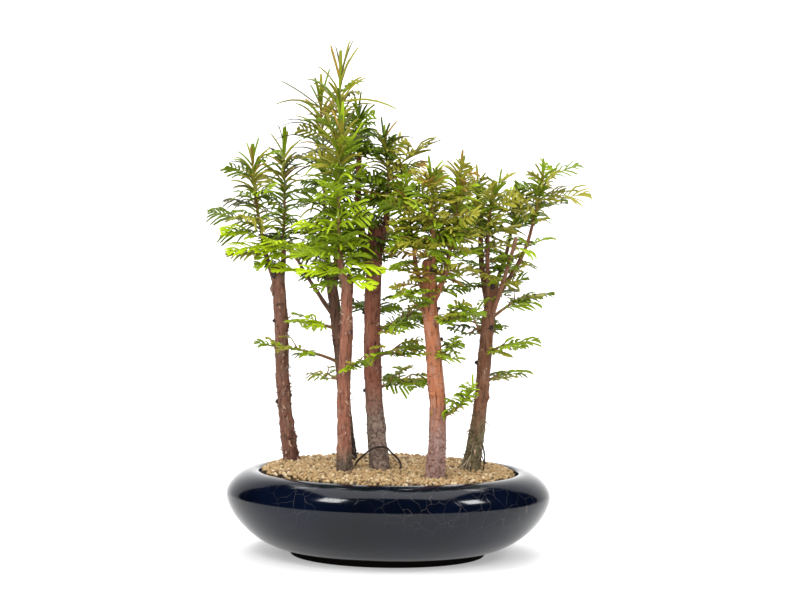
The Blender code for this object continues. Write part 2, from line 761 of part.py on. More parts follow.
def spray_mesh(bm, length):
    """A toothed blade along X: a ridged spine with teeth on both sides that thin out to their edges.

    Every face reaches from one notch to the next at most, so that the blade can be bent.
    """
    half = half_width(length)
    teeth = 3 if length > SPRAY_LONG else 2
    pitch = length * TOOTHED_SHARE / teeth
    notches = [0.0] + [length * STALK_SHARE + pitch * tooth for tooth in range(teeth)]
    ridge = SPRAY_THICKNESS / 2
    upper = [bm.verts.new((x, 0, ridge)) for x in notches]
    lower = [bm.verts.new((x, 0, -ridge)) for x in notches]
    end = bm.verts.new((length, 0, 0))
    starts = []
    for side in (1, -1):
        edge = [bm.verts.new((x, side * SPRAY_STALK, 0)) for x in notches]
        starts.append(edge[0])
        for spine in (upper, lower):
            bm.faces.new((spine[0], edge[0], edge[1]))
            bm.faces.new((spine[0], edge[1], spine[1]))
        for tooth in range(1, teeth + 1):
            width = half * LAST_TOOTH_SHARE if tooth == teeth else half
            tip = bm.verts.new((notches[tooth] + pitch * TOOTH_LEAN, side * width, 0))
            for spine in (upper, lower):
                bm.faces.new((spine[tooth], edge[tooth], tip))
                if tooth < teeth:
                    bm.faces.new((spine[tooth], tip, spine[tooth + 1]))
                    bm.faces.new((spine[tooth + 1], tip, edge[tooth + 1]))
                else:
                    bm.faces.new((spine[tooth], tip, end))
    bm.faces.new((upper[0], starts[0], lower[0], starts[1]))
    bmesh.ops.recalc_face_normals(bm, faces=bm.faces)


def needle_mesh(bm, length):
    """A needle of eight faces along X, widest in its middle."""
    bmesh.ops.create_uvsphere(bm, u_segments=4, v_segments=2, radius=1)
    turn = Matrix.Rotation(math.pi / 2, 4, "Y")
    size = Matrix.Diagonal((length / 2, NEEDLE_WIDTH / 2, NEEDLE_THICKNESS / 2, 1))
    bmesh.ops.transform(bm, matrix=Matrix.Translation((length / 2, 0, 0)) @ size @ turn, verts=bm.verts)


def leaf_object(name, leaf, group):
    """One spray or needle, turned to its way, its end bent down."""
    kind, root, way, roll, length, droop = leaf
    bm = bmesh.new()
    if kind == "spray":
        spray_mesh(bm, length)
    else:
        needle_mesh(bm, length)
    level = across_way(way, roll)
    turn = Matrix((way, level, way.cross(level))).transposed()
    for vert in bm.verts:
        sunk = Vector((0, 0, droop * (vert.co.x / length) ** 2))
        vert.co = (root + turn @ vert.co - sunk) * MM
    return make_object(name, bm, group, smooth=False)


def build_mass(name, plan, collection, trunk_cutters):
    """One stem with its leaves fused on, and cut clear of the trunk it grows from.

    The exact solver leaves open edges where many thin leaves cross, so the other one is used.
    """
    path, _, leaves = plan
    last = len(path) - 1
    loss = TWIG_ROOT_RADIUS - TWIG_TIP_RADIUS
    radii = [TWIG_ROOT_RADIUS - loss * step / last for step in range(last + 1)]
    item = tube_object(name, path, radii, TWIG_SIDES, collection)
    group = bpy.data.collections.new(name + "_leaves")
    bpy.context.scene.collection.children.link(group)
    for index, leaf in enumerate(leaves):
        leaf_object(f"{name}_leaf_{index}", leaf, group)
    combine(item, "UNION", group=group, solver="MANIFOLD")
    if MASSES[name]["on"] in TRUNKS:
        combine(item, "DIFFERENCE", trunk_cutters[MASSES[name]["on"]], solver="MANIFOLD")
    settle(item)
    for leaf in list(group.objects):
        bpy.data.objects.remove(leaf, do_unlink=True)
    bpy.data.collections.remove(group)
    return item


def build_looped_root(collection):
    """A thin root that arches out of the soil and back into it, as a round wire of one thickness."""
    path = [Vector((x, y, ground_level(x, y) + LOOP_RADIUS + z)) for x, y, z in LOOP_ARCH]
    return tube_object("looped_root", path, [LOOP_RADIUS] * len(path), 8, collection)


def main():
    clear_scene()
    plant = bpy.data.collections.new("dawn_redwood_bonsai")
    cutters = bpy.data.collections.new("cutters")
    bpy.context.scene.collection.children.link(plant)
    bpy.context.scene.collection.children.link(cutters)
    made = [build_pot(plant), build_soil(plant), build_looped_root(plant)]
    trunk_cutters = {}
    for name, spec in TRUNKS.items():
        made.append(build_trunk(name, spec, plant))
        trunk_cutters[name] = build_trunk(name + "_clearance", spec, cutters, swollen=GAP)
    made.extend(build_boughs(plant, cutters, trunk_cutters).values())
    for name, plan in place_leaves().items():
        made.append(build_mass(name, plan, plant, trunk_cutters))
    for item in made:
        item.data.materials.append(make_material(item.name))
    for cutter in cutters.objects:
        cutter.hide_render = True
        cutter.display_type = "WIRE"


main()
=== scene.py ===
import itertools
import math
import random

import bmesh
import bpy
import numpy as np
from mathutils import Matrix, Vector, noise


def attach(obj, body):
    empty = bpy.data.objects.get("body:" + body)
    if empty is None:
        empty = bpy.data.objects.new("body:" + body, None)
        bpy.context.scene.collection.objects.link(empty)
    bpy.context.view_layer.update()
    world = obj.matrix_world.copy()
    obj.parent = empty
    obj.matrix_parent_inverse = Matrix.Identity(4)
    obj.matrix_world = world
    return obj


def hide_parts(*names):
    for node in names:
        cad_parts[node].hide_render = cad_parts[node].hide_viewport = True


# Dawn redwood bonsai group in an oval pot. Sizes are in millimetres and become metres in the meshes.
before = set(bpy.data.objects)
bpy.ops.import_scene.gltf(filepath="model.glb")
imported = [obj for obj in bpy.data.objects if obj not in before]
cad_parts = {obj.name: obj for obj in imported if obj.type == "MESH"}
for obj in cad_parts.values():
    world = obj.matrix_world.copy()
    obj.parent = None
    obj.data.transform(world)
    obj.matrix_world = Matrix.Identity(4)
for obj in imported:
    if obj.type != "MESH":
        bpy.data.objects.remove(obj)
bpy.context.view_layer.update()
mm = 0.001
up = Vector((0, 0, 1))
goldenTurn = math.radians(137.5)
gap = 0.3

camera = dict(place=(0.009, -1.85, 0.347), pitch=3.0, roll=0.85, lens=83.25, sensor=36)


def makeCamera():
    pitch = math.radians(camera["pitch"])
    roll = math.radians(camera["roll"])
    ahead = Vector((0, math.cos(pitch), -math.sin(pitch)))
    right = Vector((1, 0, 0))
    above = right.cross(ahead)
    turnedRight = right * math.cos(roll) + above * math.sin(roll)
    turnedUp = above * math.cos(roll) - right * math.sin(roll)
    data = bpy.data.cameras.new("camera")
    data.sensor_width = camera["sensor"]
    data.lens = camera["lens"]
    data.clip_end = 20
    item = bpy.data.objects.new("camera", data)
    bpy.context.scene.collection.objects.link(item)
    turn = Matrix((turnedRight, turnedUp, -ahead)).transposed().to_4x4()
    item.matrix_world = Matrix.Translation(camera["place"]) @ turn
    bpy.context.scene.camera = item


makeCamera()
print("camera stands where the photograph was taken from")


# Limbs: the same named sizes as the solids, with the bark that each trunk shows.
# Knots and stubs are height, azimuth in degrees, radius and how far they stand out.
soil = dict(top=86.0, edge=80.0, levelShare=0.93, heap=4.5, heapRadius=146.0, middle=0.62, fallRight=210.0,
            riseBack=420.0, footRise=0.9)
pot = dict(depthRatio=0.80, height=84.5, belly=163.0, bellyHeight=60.5, foot=98.0, footHeight=6.5,
           crest=136.5, lip=130.0, wall=9.0, floor=14.0, swell=1.65, steps=160, arcSteps=18, unglazed=9.0,
           rim=((0, 2.2), (0.5, 1.1), (1.6, 0.35), (3.4, 0)))
trunks = {
    "trunk_left": dict(
        foot=(-100, 28), head=(-116, 27, 290), sway=(-2.0, -1.1), radii=(7.9, 7.1, 6.5), flare=20,
        bark="barkLeft",
        knots=[(264, 190, 5.0, 2.6), (228, 0, 5.5, 1.3), (205, 200, 3.6, 1.2), (128, -20, 4.2, 1.8),
               (112, 0, 4.0, 1.6)],
        stubs=[(276, 230, 3.4, 4), (227, 190, 1.9, 3.4), (145, 185, 2.2, 3.6), (152, -25, 1.6, 3)]),
    "trunk_front_left": dict(
        foot=(-43, -38), head=(-43, -38, 281), sway=(-1.3, -0.7), radii=(8.0, 6.7, 5.7), flare=22,
        bark="barkFrontLeft", knots=[(180, -60, 3.0, 1.4), (236, -120, 3.4, 1.8)],
        stubs=[(222, -40, 1.6, 3)]),
    "trunk_back_left": dict(
        foot=(-40, 36), head=(-63, 36, 281), sway=(1.2, -0.5), radii=(7.4, 6.3, 5.5), flare=18,
        bark="barkBackLeft", knots=[(210, -100, 3.2, 1.6)], stubs=[(266, 190, 2.4, 4)]),
    "trunk_centre": dict(
        foot=(-8.5, -15), head=(-16.5, -12, 331), sway=(-5.6, -0.4), radii=(9.6, 9.0, 7.5), flare=34,
        bark="barkCentre",
        knots=[(108, -60, 5.0, 1.8), (150, -150, 4.4, 1.8), (196, -80, 4.0, 1.6), (128, -20, 4, 2)],
        stubs=[(312, -60, 3.6, 3), (205, -10, 1.6, 4), (238, -165, 1.6, 4), (160, 175, 1.6, 4)]),
    "trunk_front_right": dict(
        foot=(45.5, -60), head=(36.5, -59, 298), sway=(2.8, 2.1), radii=(9.2, 8.3, 7.0), flare=26,
        bark="barkFrontRight", knots=[(120, -50, 4.0, 1.4), (168, -140, 3.6, 1.4), (232, -70, 4, 1.8)],
        stubs=[(284, -60, 3.4, 3), (216, 0, 1.6, 4), (246, -10, 1.8, 4)]),
    "trunk_right": dict(
        foot=(82, -4), head=(102, -6, 281), sway=(1.6, 1.1), radii=(10.0, 6.9, 6.4), flare=26,
        bark="barkRight", knots=[(118, -70, 4.2, 1.8), (160, -20, 3.6, 1.6), (206, -120, 3.4, 1.6)],
        stubs=[(268, -90, 2.6, 4), (226, -60, 2.4, 4), (190, 180, 1.6, 4)]),
}
# trunk, height on it, tip, bow, radius at the foot and at the tip
boughs = {
    "bough_left_outer": ("trunk_left", 259, (-131, 15, 318), (-4, 0, 0), (3.0, 2.0)),
    "bough_left_inner": ("trunk_left", 266, (-110.5, 33, 303), (3, 0, 0), (3.6, 2.6)),
    "bough_front_left": ("trunk_front_left", 264, (-50.5, -42, 302), (-3, -1, 0), (4.2, 3.0)),
    "bough_back_left": ("trunk_back_left", 258, (-67, 42, 306), (-1, 1, 0), (3.7, 2.6)),
    "bough_back_spire": ("trunk_back_left", 252, (-57.5, 22, 318), (3, -4, 0), (2.8, 2.0)),
    "bough_back_low": ("trunk_back_left", 233, (-95, 19, 293), (-1, 1, -2), (2.2, 1.5)),
    "bough_centre_left": ("trunk_centre", 278, (-34, 5, 398), (-12, 0, -8), (4.6, 2.7)),
    "bough_centre_right": ("trunk_centre", 290, (-5.5, -9, 347), (7, 1, 3), (4.4, 3.3)),
    "bough_front_right_left": ("trunk_front_right", 255, (21.5, -54, 308), (-6, 3, -2), (3.1, 1.8)),
    "bough_front_right_mid": ("trunk_front_right", 268, (39.5, -67, 330), (6, -4, 0), (3.4, 2.2)),
    "bough_front_right_side": ("trunk_front_right", 252, (57, -63, 312), (6, -3, -4), (3.0, 2.0)),
    "bough_right_back": ("trunk_right", 246, (89, 20, 326), (-5, 2, 0), (3.1, 2.3)),
    "bough_right_mid": ("trunk_right", 250, (95, -20, 322), (-3, -8, 0), (2.9, 1.9)),
    "bough_right_stub": ("trunk_right", 232, (122, -30, 320), (2, -4, -2), (2.8, 1.6)),
    "bough_right_outer": ("trunk_right", 256, (141, 8, 334), (12, 3, -6), (2.7, 1.6)),
    "bough_right_inner": ("trunk_right", 266, (120, 30, 322), (4, 8, -5), (2.6, 1.6)),
}
limb = dict(trunkRings=11, trunkSides=76, trunkStep=1.25, swayRise=1.25, cutHead=(0.99, 0.95, 0.86, 0.66),
            boughRings=7, boughSides=26, boughStep=1.3, collar=0.35, collarFade=12, lobeCount=5,
            lobeDepth=0.13, trunkRelief=0.8, boughRelief=0.34)
stubs = dict(rise=0.6, shares=(0.0, 0.3, 0.55, 0.72, 0.86, 0.95, 1.0), sides=14, relief=0.9,
             swelling=(1.7, 1.55, 1.2, 1.0, 0.95, 0.8, 0.45))


def groundLevel(x, y):
    out = math.hypot(x, y / pot["depthRatio"]) / soil["heapRadius"]
    lean = soil["middle"] - x / soil["fallRight"] + y / soil["riseBack"]
    return soil["top"] + soil["heap"] * min(1.0, max(0.0, lean)) * (1 - out ** 4) + soil["footRise"]


def bezier(start, end, bow, share):
    start, end, bow = Vector(start), Vector(end), Vector(bow)
    return start.lerp(end, share) + bow * (2 * share * (1 - share))


def trunkPath(spec, count=limb["trunkRings"]):
    foot = Vector((*spec["foot"], groundLevel(*spec["foot"])))
    head = Vector(spec["head"])
    one, two = spec["sway"]
    points = []
    for step in range(count):
        share = (step / (count - 1)) ** limb["swayRise"]
        sway = one * math.sin(math.pi * share) + two * math.sin(2 * math.pi * share)
        points.append(foot.lerp(head, share) + Vector((sway, 0, 0)))
    return points


def trunkRadii(spec, path):
    foot, body, head = spec["radii"]
    ground = groundLevel(*spec["foot"])
    radii = []
    for point in path:
        rise = point.z - ground
        taper = body + (head - body) * rise / (spec["head"][2] - ground)
        radii.append(taper + (foot - body) * math.exp(-rise / spec["flare"]))
    return radii


def atHeight(path, height):
    for low, high in zip(path, path[1:]):
        if low.z <= height <= high.z:
            return low.lerp(high, (height - low.z) / (high.z - low.z))
    return path[-1].copy()


def boughPath(name, count=limb["boughRings"]):
    trunk, height, tip, bow, _ = boughs[name]
    start = atHeight(trunkPath(trunks[trunk]), height)
    return [bezier(start, tip, bow, step / (count - 1)) for step in range(count)]


def along(path, share):
    place = share * (len(path) - 1)
    index = min(int(place), len(path) - 2)
    return path[index].lerp(path[index + 1], place - index), (path[index + 1] - path[index]).normalized()


def resample(path, step):
    # smooth points about one step apart on a path of few points
    count = len(path)
    length = sum((b - a).length for a, b in zip(path, path[1:]))
    total = max(4, round(length / step))
    ends = [path[0] * 2 - path[1]] + path + [path[-1] * 2 - path[-2]]
    points = []
    for index in range(total + 1):
        place = index / total * (count - 1)
        low = min(int(place), count - 2)
        t = place - low
        a, b, c, d = ends[low:low + 4]
        points.append(0.5 * ((2 * b) + (c - a) * t + (2 * a - 5 * b + 4 * c - d) * t * t
                             + (3 * b - a - 3 * c + d) * t ** 3))
    return points


def crossings(path):
    # two unit vectors across the path at each point
    side = None
    result = []
    for index in range(len(path)):
        ahead = (path[min(index + 1, len(path) - 1)] - path[max(index - 1, 0)]).normalized()
        if side is None:
            side = Vector((1, 0, 0)) if abs(ahead.x) < 0.9 else up.copy()
        side = (side - ahead * side.dot(ahead)).normalized()
        result.append((side.copy(), ahead.cross(side)))
    return result


def ringedCylinder(sides, rings):
    bm = bmesh.new()
    bmesh.ops.create_cone(bm, cap_ends=True, segments=sides, radius1=1, radius2=1, depth=1)
    upright = [edge for edge in bm.edges if abs(edge.verts[0].co.z - edge.verts[1].co.z) > 0.5]
    bmesh.ops.subdivide_edges(bm, edges=upright, cuts=rings - 2, use_grid_fill=True)
    return bm


def layTube(target, path, radii, sides, relief=None):
    # a cylinder's rings laid on the path, in metres, then added to the target
    bm = ringedCylinder(sides, len(path))
    across = crossings(path)
    for vert in bm.verts:
        ring = round((vert.co.z + 0.5) * (len(path) - 1))
        angle = math.atan2(vert.co.y, vert.co.x)
        radius = radii[ring]
        if relief:
            radius += relief(path[ring], angle, radius)
        side, other = across[ring]
        vert.co = (path[ring] + side * (radius * math.cos(angle)) + other * (radius * math.sin(angle))) * mm
    part = bpy.data.meshes.new("part")
    bm.to_mesh(part)
    bm.free()
    target.from_mesh(part)
    bpy.data.meshes.remove(part)


def placedMesh(name, mesh, material, sharpAngle):
    # smooth, but for edges sharper than the angle if one is given
    mesh.shade_smooth()
    if sharpAngle:
        mesh.set_sharp_from_angle(angle=math.radians(sharpAngle))
    item = bpy.data.objects.new(name, mesh)
    bpy.context.scene.collection.objects.link(item)
    mesh.materials.append(material)
    return item


def finishedObject(name, bm, material, sharpAngle=0):
    mesh = bpy.data.meshes.new(name)
    bm.to_mesh(mesh)
    bm.free()
    return placedMesh(name, mesh, material, sharpAngle)


def dress(item, nodes):
    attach(item, "root")
    if nodes:
        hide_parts(*nodes)


# Node materials: small helpers, then the groups that several materials share.
def newNode(tree, kind, inputs=None, **settings):
    node = tree.nodes.new(kind)
    for name, value in settings.items():
        setattr(node, name, value)
    for name, value in (inputs or {}).items():
        if hasattr(value, "is_output"):
            tree.links.new(value, node.inputs[name])
        else:
            node.inputs[name].default_value = value
    return node


def ramp(tree, factor, stops):
    node = newNode(tree, "ShaderNodeValToRGB", {"Fac": factor})
    bar = node.color_ramp
    while len(bar.elements) < len(stops):
        bar.elements.new(1.0)
    for element, (place, colour) in zip(bar.elements, stops):
        element.position = place
        element.color = (*colour, 1)
    return node.outputs["Color"]


def blend(tree, factor, first, second):
    node = newNode(tree, "ShaderNodeMix", data_type="RGBA")
    for socket, value in ((node.inputs[0], factor), (node.inputs[6], first), (node.inputs[7], second)):
        if hasattr(value, "is_output"):
            tree.links.new(value, socket)
        else:
            socket.default_value = value if isinstance(value, float) else (*value, 1)
    return node.outputs[2]


def rescale(tree, value, low, high, toLow=0.0, toHigh=1.0):
    inputs = {"Value": value, "From Min": low, "From Max": high, "To Min": toLow, "To Max": toHigh}
    return newNode(tree, "ShaderNodeMapRange", inputs).outputs["Result"]


def maths(tree, operation, *values):
    return newNode(tree, "ShaderNodeMath", dict(enumerate(values)), operation=operation).outputs[0]


def stretched(tree, place, factors):
    return newNode(tree, "ShaderNodeVectorMath", {0: place, 1: factors}, operation="MULTIPLY").outputs[0]


def cloudy(tree, place, scale, detail=2.0, roughness=0.5, distortion=0.0):
    inputs = {"Vector": place, "Scale": scale, "Detail": detail, "Roughness": roughness,
              "Distortion": distortion}
    return newNode(tree, "ShaderNodeTexNoise", inputs).outputs


def objectPlace(tree):
    return newNode(tree, "ShaderNodeTexCoord").outputs["Object"]


def newGroup(name, inputs, outputs):
    group = bpy.data.node_groups.new(name, "ShaderNodeTree")
    for label, value in inputs:
        socket = group.interface.new_socket(name=label, in_out="INPUT", socket_type="NodeSocketFloat")
        socket.default_value = value
    for label in outputs:
        group.interface.new_socket(name=label, in_out="OUTPUT", socket_type="NodeSocketFloat")
    return group, newNode(group, "NodeGroupInput").outputs, newNode(group, "NodeGroupOutput").inputs


def fibreGroup():
    # stringy bark: streaks along the trunk, plates, cracks round it, pits at its foot and a height
    given = [("Streak Scale", 420.0), ("Stretch", 0.12), ("Plate Scale", 150.0)]
    kinds = ("Streaks", "Plates", "Cracks", "Pits", "Height")
    group, given, result = newGroup("fibre", given, kinds)
    place = objectPlace(group)
    shape = newNode(group, "ShaderNodeCombineXYZ", {"X": 1.0, "Y": 1.0, "Z": given["Stretch"]}).outputs[0]
    streaks = cloudy(group, stretched(group, place, shape), given["Streak Scale"], 6.0, 0.66, 0.5)["Fac"]
    plates = cloudy(group, stretched(group, place, (1.0, 1.0, 0.5)), given["Plate Scale"], 4.0, 0.55)["Fac"]
    rings = cloudy(group, stretched(group, place, (1.0, 1.0, 4.2)), 110.0, 4.0, 0.6)["Fac"]
    cracks = rescale(group, rings, 0.60, 0.70)
    height = maths(group, "ADD", maths(group, "MULTIPLY_ADD", cracks, -0.5, streaks), plates)
    pits = cloudy(group, place, 330.0, 5.0, 0.62, 0.6)["Fac"]
    for kind, value in zip(kinds, (streaks, plates, cracks, pits, height)):
        group.links.new(value, result[kind])
    return group


def speckleGroup():
    # fine spots for fired clay, granules and stalks
    group, given, result = newGroup("speckle", [("Scale", 900.0)], ["Spots", "Height"])
    place = objectPlace(group)
    pits = newNode(group, "ShaderNodeTexVoronoi", {"Vector": place, "Scale": given["Scale"]})
    group.links.new(cloudy(group, place, given["Scale"], 3.0)["Fac"], result["Spots"])
    group.links.new(pits.outputs["Distance"], result["Height"])
    return group


fibre = fibreGroup()
speckle = speckleGroup()


def emptyMaterial(name):
    material = bpy.data.materials.new(name)
    material.use_nodes = True
    return material, material.node_tree, material.node_tree.nodes["Principled BSDF"]


def bump(tree, shader, height, distance, strength=1.0):
    inputs = {"Height": height, "Strength": strength, "Distance": distance * mm}
    tree.links.new(newNode(tree, "ShaderNodeBump", inputs).outputs["Normal"], shader.inputs["Normal"])


def barkMaterial(name, look):
    material, tree, shader = emptyMaterial(name)
    sizes = {"Streak Scale": look["streaks"], "Stretch": look["stretch"], "Plate Scale": look["plates"]}
    grain = newNode(tree, "ShaderNodeGroup", node_tree=fibre)
    for label, value in sizes.items():
        grain.inputs[label].default_value = value
    grain = grain.outputs
    colour = ramp(tree, grain["Streaks"], [(0.34, look["crack"]), (0.47, look["body"]), (0.60, look["body"]),
                                           (0.72, look["ridge"])])
    patches = rescale(tree, grain["Plates"], 0.52, 0.66, 0.0, look["patchShare"])
    colour = blend(tree, patches, colour, look["patch"])
    # greyer towards the foot, with a ragged upper end, and weathered at the cut head
    height = newNode(tree, "ShaderNodeSeparateXYZ", {0: objectPlace(tree)}).outputs["Z"]
    ragged = maths(tree, "MULTIPLY_ADD", grain["Plates"], look["ragged"] * mm, height)
    low, high = (edge + look["ragged"] / 2 for edge in look["footBand"])
    nearFoot = rescale(tree, ragged, low * mm, high * mm, look["footShare"], 0.0)
    foot = blend(tree, rescale(tree, grain["Pits"], 0.36, 0.58), look["footDark"], look["foot"])
    colour = blend(tree, nearFoot, colour, foot)
    colour = blend(tree, maths(tree, "MULTIPLY", grain["Cracks"], 0.75), colour, look["crack"])
    cutHead = rescale(tree, ragged, (look["head"] + 24) * mm, (look["head"] + 32) * mm, 0.0, 0.55)
    tree.links.new(blend(tree, cutHead, colour, look["crack"]), shader.inputs["Base Color"])
    tree.links.new(rescale(tree, grain["Plates"], 0.3, 0.7, 0.95, 0.78), shader.inputs["Roughness"])
    bump(tree, shader, grain["Height"], look["relief"])
    return material


barks = {
    "barkLeft": dict(crack=(0.018, 0.010, 0.007), body=(0.150, 0.066, 0.042), ridge=(0.34, 0.200, 0.130),
                     patch=(0.20, 0.125, 0.090), patchShare=0.6, foot=(0.11, 0.048, 0.034),
                     footDark=(0.03, 0.014, 0.01), footBand=(86, 112), footShare=0.5, head=282),
    "barkFrontLeft": dict(crack=(0.045, 0.016, 0.010), body=(0.205, 0.078, 0.046), ridge=(0.42, 0.22, 0.135),
                          patch=(0.27, 0.155, 0.105), patchShare=0.6, foot=(0.105, 0.080, 0.058),
                          footDark=(0.022, 0.017, 0.012), footBand=(100, 116), footShare=0.95, head=300),
    "barkBackLeft": dict(crack=(0.014, 0.008, 0.006), body=(0.125, 0.060, 0.038), ridge=(0.26, 0.150, 0.100),
                         patch=(0.125, 0.078, 0.055), patchShare=0.6, foot=(0.018, 0.014, 0.012),
                         footDark=(0.004, 0.004, 0.004), footBand=(104, 150), footShare=0.95, head=272),
    "barkCentre": dict(crack=(0.036, 0.013, 0.009), body=(0.195, 0.068, 0.040), ridge=(0.36, 0.170, 0.105),
                       patch=(0.21, 0.105, 0.070), patchShare=0.6, foot=(0.215, 0.165, 0.130),
                       footDark=(0.045, 0.031, 0.025), footBand=(138, 172), footShare=0.88, head=320),
    "barkFrontRight": dict(crack=(0.070, 0.022, 0.011), body=(0.310, 0.110, 0.050), ridge=(0.50, 0.25, 0.14),
                           patch=(0.30, 0.19, 0.145), patchShare=0.45, foot=(0.240, 0.170, 0.150),
                           footDark=(0.075, 0.030, 0.030), footBand=(128, 158), footShare=0.8, head=290),
    "barkRight": dict(crack=(0.030, 0.014, 0.008), body=(0.170, 0.072, 0.038), ridge=(0.36, 0.20, 0.115),
                      patch=(0.21, 0.125, 0.080), patchShare=0.5, foot=(0.150, 0.130, 0.065),
                      footDark=(0.030, 0.027, 0.013), footBand=(118, 152), footShare=0.9, head=272),
}
for barkName, barkLook in barks.items():
    barkLook.update(streaks=430.0, stretch=0.14, plates=150.0, relief=0.9, ragged=50)
    barkMaterial(barkName, barkLook)
    barkMaterial(barkName.replace("bark", "boughBark"), dict(barkLook, head=999, relief=0.6, streaks=560.0))
cutWoodLook = dict(crack=(0.008, 0.006, 0.005), body=(0.040, 0.026, 0.020), ridge=(0.13, 0.09, 0.065),
                   patch=(0.08, 0.055, 0.042), patchShare=0.5, foot=(0.05, 0.03, 0.02),
                   footDark=(0.02, 0.01, 0.01), footBand=(0, 1), footShare=0.0, streaks=600.0, stretch=0.6,
                   plates=260.0, relief=0.8, head=999, ragged=50)
barkMaterial("cutWood", cutWoodLook)
print("bark materials made")


# Relief of the bark. Ridges, fine lines and swellings: how dense round the trunk and along it, how strong.
ridges = dict(round=2.6, long=(1.6, 0.035, 0.8), fine=(4.6, 0.10, 0.45), swollen=(0.35, 0.030, 0.9),
              strips=13, drift=(1.4, 0.05), plateLength=15, plateShift=9, rimSlope=5, plateOut=0.75,
              middle=0.3, knotReach=6)


def barkRelief(knots, seed, depth):
    # ridges along the limb, plates with sharp edges, and the given knots, as a change of radius
    places = [(height, math.radians(azimuth), radius, out) for height, azimuth, radius, out in knots]
    strips, middle = ridges["strips"], ridges["middle"]
    drift, driftRise = ridges["drift"]

    def relief(point, angle, radius):
        x, y = math.cos(angle) * ridges["round"], math.sin(angle) * ridges["round"]
        size, rise, deep = ridges["long"]
        ridge = deep * (middle - abs(noise.noise(Vector((x * size + seed, y * size, point.z * rise)))))
        size, rise, strong = ridges["fine"]
        fine = noise.noise(Vector((x * size + seed, y * size, point.z * rise)))
        size, rise, wide = ridges["swollen"]
        swollen = wide * noise.noise(Vector((x * size, y * size + seed, point.z * rise)))
        shift = drift * noise.noise(Vector((x, y, point.z * driftRise + seed)))
        strip = (angle / (2 * math.pi) * strips + shift) % strips
        shift = noise.cell(Vector((math.floor(strip), seed, 0)))
        row = math.floor(point.z / ridges["plateLength"] + shift * ridges["plateShift"])
        plate = noise.cell(Vector((math.floor(strip), row, seed)))
        rim = min(1.0, min(strip % 1, 1 - strip % 1) * ridges["rimSlope"])
        out = depth * (ridge + strong * fine + swollen + ridges["plateOut"] * (plate * rim - middle))
        for height, azimuth, wide, tall in places:
            turn = (angle - azimuth + math.pi) % (2 * math.pi) - math.pi
            far = ((point.z - height) ** 2 + (turn * radius) ** 2) / (wide * wide)
            if far < ridges["knotReach"]:
                out += tall * math.exp(-far) * (1 + 0.5 * fine)
        return out

    return relief


def rootLobes(spec, inner):
    # the solid's shallow lobes that fade with height, under the bark's own relief
    turn = spec["foot"][0]
    ground = groundLevel(*spec["foot"])

    def relief(point, angle, radius):
        fade = math.exp(-max(0, point.z - ground) / spec["flare"])
        lobe = limb["lobeDepth"] * radius * math.cos(limb["lobeCount"] * angle + turn) * fade
        return lobe + inner(point, angle, radius)

    return relief


def addStub(bm, path, height, azimuth, radius, length, seed):
    # the cut end of an old side branch, leaning upwards, rough and a little swollen at its foot
    centre = atHeight(path, height)
    turn = math.radians(azimuth)
    way = Vector((math.cos(turn), math.sin(turn), stubs["rise"])).normalized()
    line = [centre + way * (length * share) for share in stubs["shares"]]
    radii = [radius * share for share in stubs["swelling"]]
    layTube(bm, line, radii, stubs["sides"], barkRelief([], seed, stubs["relief"]))


def makeTrunk(name, spec, seed):
    path = trunkPath(spec)
    fine = resample(path, limb["trunkStep"])
    # a short buried start, so that no gap shows under the flare
    fine = [fine[0] - up * 5, fine[0] - up * 2.5] + fine
    radii = trunkRadii(spec, fine)
    radii[-4:] = [radii[-5] * share for share in limb["cutHead"]]
    bm = bmesh.new()
    relief = rootLobes(spec, barkRelief(spec["knots"], seed, limb["trunkRelief"]))
    layTube(bm, fine, radii, limb["trunkSides"], relief)
    item = finishedObject(name.replace("trunk", "bark"), bm, bpy.data.materials[spec["bark"]])
    dress(item, [name])
    bm = bmesh.new()
    for index, (height, azimuth, radius, length) in enumerate(spec["stubs"]):
        trunkRadius = trunkRadii(spec, [Vector((0, 0, height))])[0]
        addStub(bm, path, height, azimuth, radius, trunkRadius + length, seed + index)
    item = finishedObject(name.replace("trunk", "stubs"), bm, bpy.data.materials["cutWood"])
    dress(item, [name])


def makeBoughs(trunkName, seed):
    bm = bmesh.new()
    names = [name for name, row in boughs.items() if row[0] == trunkName]
    for index, name in enumerate(names):
        first, last = boughs[name][4]
        path = resample(boughPath(name), limb["boughStep"])
        radii = []
        for step in range(len(path)):
            share = step / (len(path) - 1)
            collar = 1 + limb["collar"] * math.exp(-share * limb["collarFade"])
            radii.append((first + (last - first) * share) * collar)
        relief = barkRelief([], seed + index, limb["boughRelief"])
        layTube(bm, path, radii, limb["boughSides"], relief)
    material = bpy.data.materials[trunks[trunkName]["bark"].replace("bark", "boughBark")]
    item = finishedObject(trunkName.replace("trunk", "boughs"), bm, material)
    dress(item, names)


for seed, (trunkName, trunkSpec) in enumerate(trunks.items()):
    makeTrunk(trunkName, trunkSpec, seed * 7.3)
    makeBoughs(trunkName, seed * 5.1 + 40)
print("trunks and boughs have their bark")


